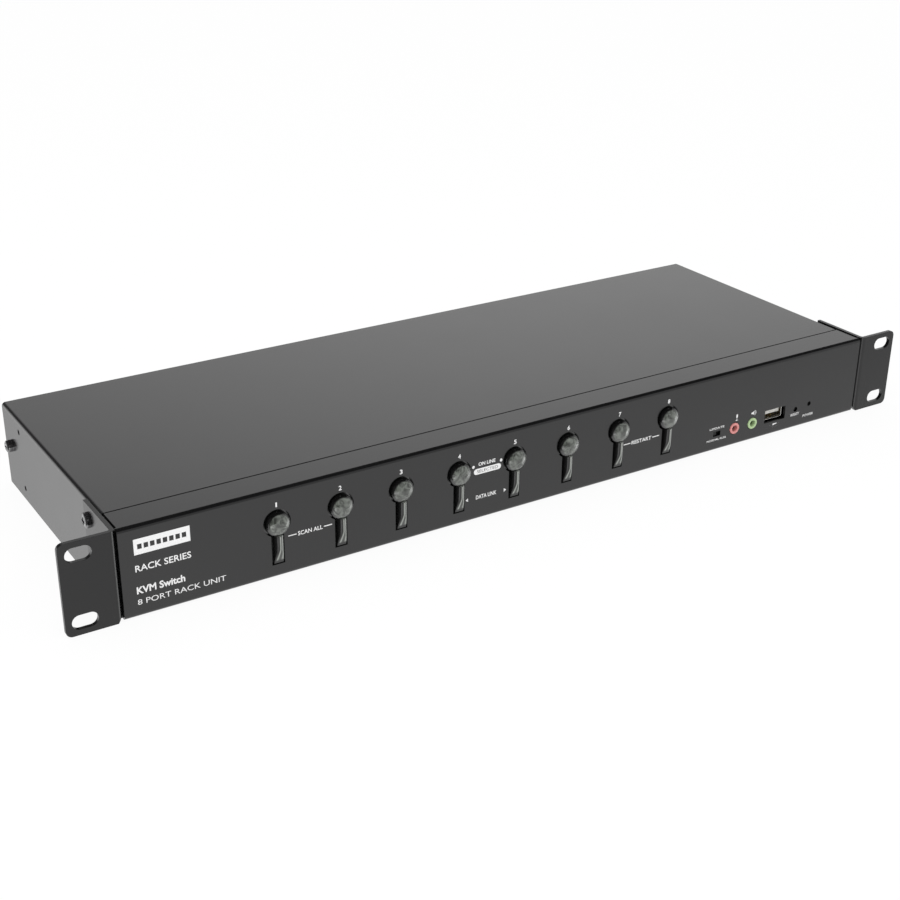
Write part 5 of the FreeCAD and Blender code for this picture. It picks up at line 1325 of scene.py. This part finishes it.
@dataclass
class Legends:
    """Generic marks: port numbers and plain words for what each control does."""

    numeral_height: float = 2.3 * MM
    numeral_low: float = 35.1 * MM

    def build(self) -> None:
        """Print the front and the back."""
        self.front()
        self.nameplate()
        self.back()

    def front(self) -> None:
        """Marks round the buttons and the front sockets."""
        ink = Print(Facing.FRONT, float(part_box("base_tray")[0][1]), "front_legends")
        dark = Print(Facing.FRONT, ink.face, "front_pill_letters", finish=Finishes.DARK_INK)
        centres = [PortButton(number).centre()[0] for number in BUTTONS]
        for number, x in zip(BUTTONS, centres):
            wide = 0.75 * MM if number == 1 else 1.5 * MM
            ink.word(str(number), (x - wide / 2, x + wide / 2),
                     (self.numeral_low, self.numeral_low + self.numeral_height), 0.02)
        self.dashed(ink, "SCAN ALL", centres[0] + 5.2 * MM, centres[1] - 4.6 * MM, 19.2 * MM, 4.1 * MM)
        self.dashed(ink, "RESTART", centres[6] + 3.6 * MM, centres[7] - 5.1 * MM, 18.4 * MM, 4.4 * MM)
        for text, left, right, low, high, bold in (
                ("ON LINE", -36.8, -27.2, 28.5, 30.4, 0.02), ("DATA LINK", -38.0, -26.2, 11.0, 13.1, 0.02),
                ("UPDATE", 109.2, 119.4, 12.5, 13.7, 0.01), ("NORMAL RUN", 107.8, 121.0, 5.9, 7.1, 0.01),
                ("RESET", 167.9, 174.1, 7.5, 9.0, 0.01), ("POWER", 177.2, 185.0, 5.1, 6.6, 0.01)):
            ink.word(text, (left * MM, right * MM), (low * MM, high * MM), bold)
        spot = disc(0.0, 0.0, 0.7)
        leftward = np.array([[1.0, 0.0], [1.0, 2.0], [0.0, 1.0]])
        rightward = np.array([[0.0, 0.0], [1.0, 1.0], [0.0, 2.0]])
        for outline, left, right, low, high in (
                (pill(15.5, 3.0), -39.4, -23.9, 24.2, 27.2), (spot, -40.4, -39.0, 27.8, 29.4),
                (spot, -24.6, -23.2, 27.8, 29.4), (leftward, -43.9, -42.5, 11.0, 12.9),
                (rightward, -21.9, -20.5, 11.0, 12.9)):
            ink.shape([outline], (left * MM, right * MM), (low * MM, high * MM))
        dark.word("SELECTED", (-37.6 * MM, -25.7 * MM), (24.95 * MM, 26.5 * MM), 0.0, 0.01 * MM)
        self.symbols(ink)
        ink.finish_piece()
        dark.finish_piece()

    def symbols(self, ink: Print) -> None:
        """Plain pictures over the front sockets: a microphone, a loudspeaker and a plug."""
        capsule = pill(2.4, 1.2)[:, ::-1] + np.array([0.0, 1.0])
        stand = box_outline(-0.18, -1.6, 0.18, -0.4)
        foot = box_outline(-0.9, -2.0, 0.9, -1.6)
        ink.shape([capsule, stand, foot], (127.1 * MM, 128.7 * MM), (14.3 * MM, 18.0 * MM))
        cone = np.array([[-1.4, -0.55], [-0.7, -0.55], [0.3, -1.4], [0.3, 1.4], [-0.7, 0.55], [-1.4, 0.55]])
        a = np.linspace(-1.0, 1.0, 9)
        outer, inner = ([np.column_stack([r * np.cos(a) - 0.3, r * np.sin(a)]) for r in radii]
                        for radii in ((1.5, 2.2), (1.25, 1.95)))
        arcs = [np.concatenate([far, near[::-1]]) for far, near in zip(outer, inner)]
        ink.shape([cone] + arcs, (138.2 * MM, 141.6 * MM), (14.6 * MM, 17.6 * MM))
        plug = box_outline(-1.2, -0.8, 1.2, 0.8)
        lead = box_outline(-3.0, -0.14, -1.2, 0.14)
        tip = box_outline(1.2, -0.5, 2.6, 0.5)
        ink.shape([plug, lead, tip], (152.6 * MM, 159.4 * MM), (4.0 * MM, 6.3 * MM))

    def dashed(self, ink: Print, text: str, start: float, end: float, height: float, dash: float) -> None:
        """Print a word between two dashes.

        Args:
            ink: where it is printed.
            text: the word.
            start: left end of the first dash.
            end: right end of the last dash.
            height: middle of the line.
            dash: length of each dash.
        """
        bar = box_outline(0.0, 0.0, 4.0, 1.0)
        for left in (start, end - dash):
            ink.shape([bar], (left, left + dash), (height - 0.25 * MM, height + 0.25 * MM))
        ink.word(text, (start + dash + 0.7 * MM, end - dash - 0.7 * MM),
                 (height - 1.05 * MM, height + 1.05 * MM), 0.015)

    def nameplate(self) -> None:
        """A plain panel of eight squares and words for what the unit is."""
        ink = Print(Facing.FRONT, float(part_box("base_tray")[0][1]), "front_nameplate")
        frame_line = box_outline(0.0, 0.0, 25.3, 7.4)
        windows = [box_outline(1.6 + 2.85 * step, 2.5, 3.6 + 2.85 * step, 4.9) for step in range(8)]
        ink.shape([frame_line] + windows, (-208.9 * MM, -183.6 * MM), (30.0 * MM, 37.4 * MM))
        ink.word("RACK SERIES", (-209.0 * MM, -183.8 * MM), (21.9 * MM, 25.0 * MM), 0.012)
        ink.word("KVM Switch", (-209.2 * MM, -187.3 * MM), (11.2 * MM, 14.7 * MM), 0.03)
        ink.word("8 PORT RACK UNIT", (-209.2 * MM, -168.5 * MM), (6.0 * MM, 8.6 * MM), 0.0)
        ink.finish_piece()

    def back(self) -> None:
        """Numbers and words over the sockets on the back."""
        ink = Print(Facing.BACK, float(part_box("rear_panel")[1][1]), "rear_legends")
        low, high = corners("hex_posts")
        first, last = low[0] + 2.34 * MM + 16.65 * MM, high[0] - 2.34 * MM - 16.65 * MM
        for column, x in enumerate(np.linspace(first, last, COLUMNS)):
            text = "CONSOLE" if column == 0 else str(column)
            wide = 9.0 * MM if column == 0 else 1.5 * MM
            ink.word(text, (-x - wide / 2, -x + wide / 2), (37.6 * MM, 39.8 * MM), 0.015)
        low, high = corners("power_inlet")
        inlet = (low[0] + high[0]) / 2
        ink.word("POWER", (-inlet - 4.0 * MM, -inlet + 4.0 * MM), (3.6 * MM, 5.4 * MM), 0.01)
        ink.finish_piece()


@dataclass
class Studio:
    """Pale floor, soft light and the camera."""

    eye: tuple[float, float, float] = (-0.38747, -0.60595, 0.33457)
    yaw: float = 32.396
    pitch: float = 25.186
    roll: float = 0.548
    lens: float = 59.19
    floor_half: float = 4.0
    floor_drop: float = 0.00002
    floor_glow: float = 0.92
    lamp_spot: tuple[float, float, float] = (-0.5, -0.4, 1.3)
    lamp_size: float = 0.9
    lamp_power: float = 6.0
    lobes: tuple = (((0.5, 0.76, 0.4), 0.31, 24.0), ((-0.41, -0.81, -0.42), 5.0, 60.0),
                    ((0.88, -0.2, -0.42), 3.0, 60.0))
    right_start: float = 0.3
    band_top: float = 0.51
    band_soft: float = 0.1
    band_slope: float = 0.2
    band_side: tuple[float, float] = (-0.25, 0.1)
    upper_left: float = 0.2
    lean: tuple[float, float] = (0.725, 0.268)
    under: float = 1.34
    under_tilt: tuple[float, float] = (-0.3, -0.27)
    horizon: tuple[float, float] = (-0.02, -0.3)
    horizon_slope: float = 0.3
    front: tuple[float, float] = (-0.3, -0.55)
    front_side: tuple[float, float] = (-0.35, -0.05)
    behind: tuple[float, float] = (0.3, 0.55)
    behind_side: tuple[float, float] = (-0.1, -0.3)
    behind_gain: float = 1.27
    deep: tuple[float, float] = (-0.58, -0.72)

    def build(self) -> None:
        """Build the stage."""
        self.build_floor()
        self.build_sky()
        self.build_lamp()
        self.build_camera()
        bpy.context.scene.view_settings.view_transform = "Standard"

    def build_floor(self) -> None:
        """Wide pale sheet with a faint mottle under the unit."""
        half = self.floor_half
        u = np.linspace(-half, half, 5)
        x, y = np.meshgrid(u, u, indexing="ij")
        points = np.stack([x, y, 0 * x - self.floor_drop], axis=-1)
        index = np.arange(x.size).reshape(x.shape)
        faces = np.stack([index[:-1, :-1], index[1:, :-1], index[1:, 1:], index[:-1, 1:]], axis=-1)
        mesh = bpy.data.meshes.new("floor")
        mesh.from_pydata(points.reshape(-1, 3).tolist(), [], faces.reshape(-1, 4).tolist())
        mesh.materials.append(self.floor_material())
        floor = bpy.data.objects.new("floor", mesh)
        floor.visible_glossy = False
        bpy.context.scene.collection.objects.link(floor)

    def floor_material(self) -> bpy.types.Material:
        """Pale matt paper that is lit evenly."""
        paper = Finish("pale_floor", (0.87, 0.87, 0.87), (0.9, 0.9, 0.9))
        made, bench, shader = paper.start()
        mottle = bench.add("TexNoise", {"Vector": bench.place(), "Scale": 3.0, "Detail": 3.0})
        bench.feed(shader.inputs["Base Color"], paper.tone(bench, mottle.outputs[0]))
        shader.inputs["Roughness"].default_value = 0.9
        shader.inputs["Specular IOR Level"].default_value = 0.1
        seen = bench.add("LightPath").outputs["Is Camera Ray"]
        glow = bench.add("Emission", {"Color": (1.0, 1.0, 1.0), "Strength": 1.0})
        share = bench.times(seen, self.floor_glow)
        mix = bench.add("MixShader", {0: share, 1: shader.outputs[0], 2: glow.outputs[0]})
        output = next(node for node in made.node_tree.nodes if node.type == "OUTPUT_MATERIAL")
        bench.feed(output.inputs["Surface"], mix.outputs[0])
        return made

    def build_sky(self) -> None:
        """White surroundings, which gloss sees as a set of soft boxes.

        Gloss finds a pale floor in front, behind on the left and straight below, a pale band low in
        the sky on the right and behind, dim on the left, and dark everywhere else. Soft lobes, each
        a power of the cosine from its middle, brighten it: a wide one behind, and a tight one low at
        each side of the front.
        """
        world = bpy.data.worlds.new("studio_sky")
        world.use_nodes = True
        world.node_tree.nodes.clear()
        bench = NodeBench(world.node_tree)
        way = bench.add("TexCoord").outputs["Generated"]
        x, y, z = bench.add("SeparateXYZ", {0: way}).outputs
        rightward = bench.maths("MAXIMUM", bench.maths("SUBTRACT", x, self.right_start), 0.0)
        gloss = bench.maths("MAXIMUM", self.lower(bench, x, y, z, rightward),
                            self.upper(bench, x, z, rightward))
        for spot, strength, tightness in self.lobes:
            aim = tuple(Vector(spot).normalized())
            close = bench.add("VectorMath", {0: way, 1: aim}, operation="DOT_PRODUCT").outputs["Value"]
            glow = bench.maths("POWER", bench.maths("MAXIMUM", close, 0.0), tightness)
            gloss = bench.plus(gloss, bench.times(glow, strength))
        seen = bench.add("LightPath").outputs["Is Glossy Ray"]
        strength = bench.plus(bench.times(seen, gloss), bench.maths("SUBTRACT", 1.0, seen))
        back = bench.add("Background", {"Color": (1.0, 1.0, 1.0), "Strength": strength})
        output = bench.add("OutputWorld")
        bench.feed(output.inputs["Surface"], back.outputs[0])
        bpy.context.scene.world = world

    def upper(self, bench: NodeBench, x: bpy.types.NodeSocket, z: bpy.types.NodeSocket,
              rightward: bpy.types.NodeSocket) -> bpy.types.NodeSocket:
        """Pale band low in the sky, brighter to the right and dim on the left."""
        height = bench.plus(z, bench.times(rightward, self.band_slope))
        band = self.step(bench, height, self.band_top + self.band_soft, self.band_top)
        side = bench.maths("MAXIMUM", self.step(bench, x, *self.band_side), self.upper_left)
        lean = bench.plus(bench.times(x, self.lean[1]), self.lean[0])
        return bench.times(bench.times(band, side), lean)

    def lower(self, bench: NodeBench, x: bpy.types.NodeSocket, y: bpy.types.NodeSocket,
              z: bpy.types.NodeSocket, rightward: bpy.types.NodeSocket) -> bpy.types.NodeSocket:
        """Pale floor in front, behind on the left and straight below."""
        rise = bench.maths("SUBTRACT", z, bench.times(bench.maths("MAXIMUM", y, 0.0), self.horizon_slope))
        low = self.step(bench, bench.plus(rise, bench.times(rightward, self.horizon_slope)), *self.horizon)
        front = bench.times(self.step(bench, y, *self.front), self.step(bench, x, *self.front_side))
        behind = bench.times(self.step(bench, y, *self.behind), self.step(bench, x, *self.behind_side))
        sides = bench.plus(front, bench.times(behind, self.behind_gain))
        open_floor = bench.maths("MAXIMUM", sides, self.step(bench, z, *self.deep))
        tilt = bench.plus(bench.times(x, self.under_tilt[0]), bench.times(y, self.under_tilt[1]))
        return bench.times(bench.times(low, open_floor), bench.times(bench.plus(tilt, 1.0), self.under))

    def step(self, bench: NodeBench, value: object, start: float, end: float) -> bpy.types.NodeSocket:
        """Soft rise from 0 at start to 1 at end, where start may be the larger.

        Args:
            bench: where the node goes.
            value: what is compared.
            start: where the rise begins.
            end: where it is full.

        Returns:
            The socket with the share.
        """
        ends = (0.0, 1.0) if start < end else (1.0, 0.0)
        return bench.eased(value, min(start, end), max(start, end), *ends)

    def build_lamp(self) -> None:
        """Hang one large soft lamp that gives matt surfaces a little shape from above and the left."""
        light = bpy.data.lights.new("soft_lamp", "AREA")
        light.size = self.lamp_size
        light.energy = self.lamp_power
        made = bpy.data.objects.new("soft_lamp", light)
        made.location = self.lamp_spot
        made.rotation_euler = (-Vector(self.lamp_spot)).to_track_quat("-Z", "Y").to_euler()
        made.visible_camera = False
        made.visible_glossy = False
        bpy.context.scene.collection.objects.link(made)

    def build_camera(self) -> None:
        """Aim the camera by its yaw, pitch and roll."""
        yaw, pitch, roll = (math.radians(value) for value in (self.yaw, self.pitch, self.roll))
        ahead = Vector((math.sin(yaw) * math.cos(pitch), math.cos(yaw) * math.cos(pitch), -math.sin(pitch)))
        right = Vector((math.cos(yaw), -math.sin(yaw), 0.0))
        above = right.cross(ahead)
        across = math.cos(roll) * right + math.sin(roll) * above
        upward = math.cos(roll) * above - math.sin(roll) * right
        data = bpy.data.cameras.new("studio_camera")
        data.lens = self.lens
        data.sensor_width = 36.0
        data.clip_start = 0.01
        camera = bpy.data.objects.new("studio_camera", data)
        turn = Matrix((across, upward, -ahead)).transposed().to_4x4()
        camera.matrix_world = Matrix.Translation(Vector(self.eye)) @ turn
        bpy.context.scene.collection.objects.link(camera)
        bpy.context.scene.camera = camera


def main() -> None:
    """Build every sub-assembly in order."""
    logging.basicConfig(level=logging.INFO, format="%(name)s: %(message)s")
    assemblies = [Enclosure(), CaseScrews(), *(PortButton(number) for number in BUTTONS), AudioSockets(),
                  DataSockets(), VideoSockets(), FrontControls(), Electronics(), Legends(), Studio()]
    for assembly in assemblies:
        assembly.build()
        log.info("%s is ready", type(assembly).__name__)


if __name__ == "__main__":
    main()
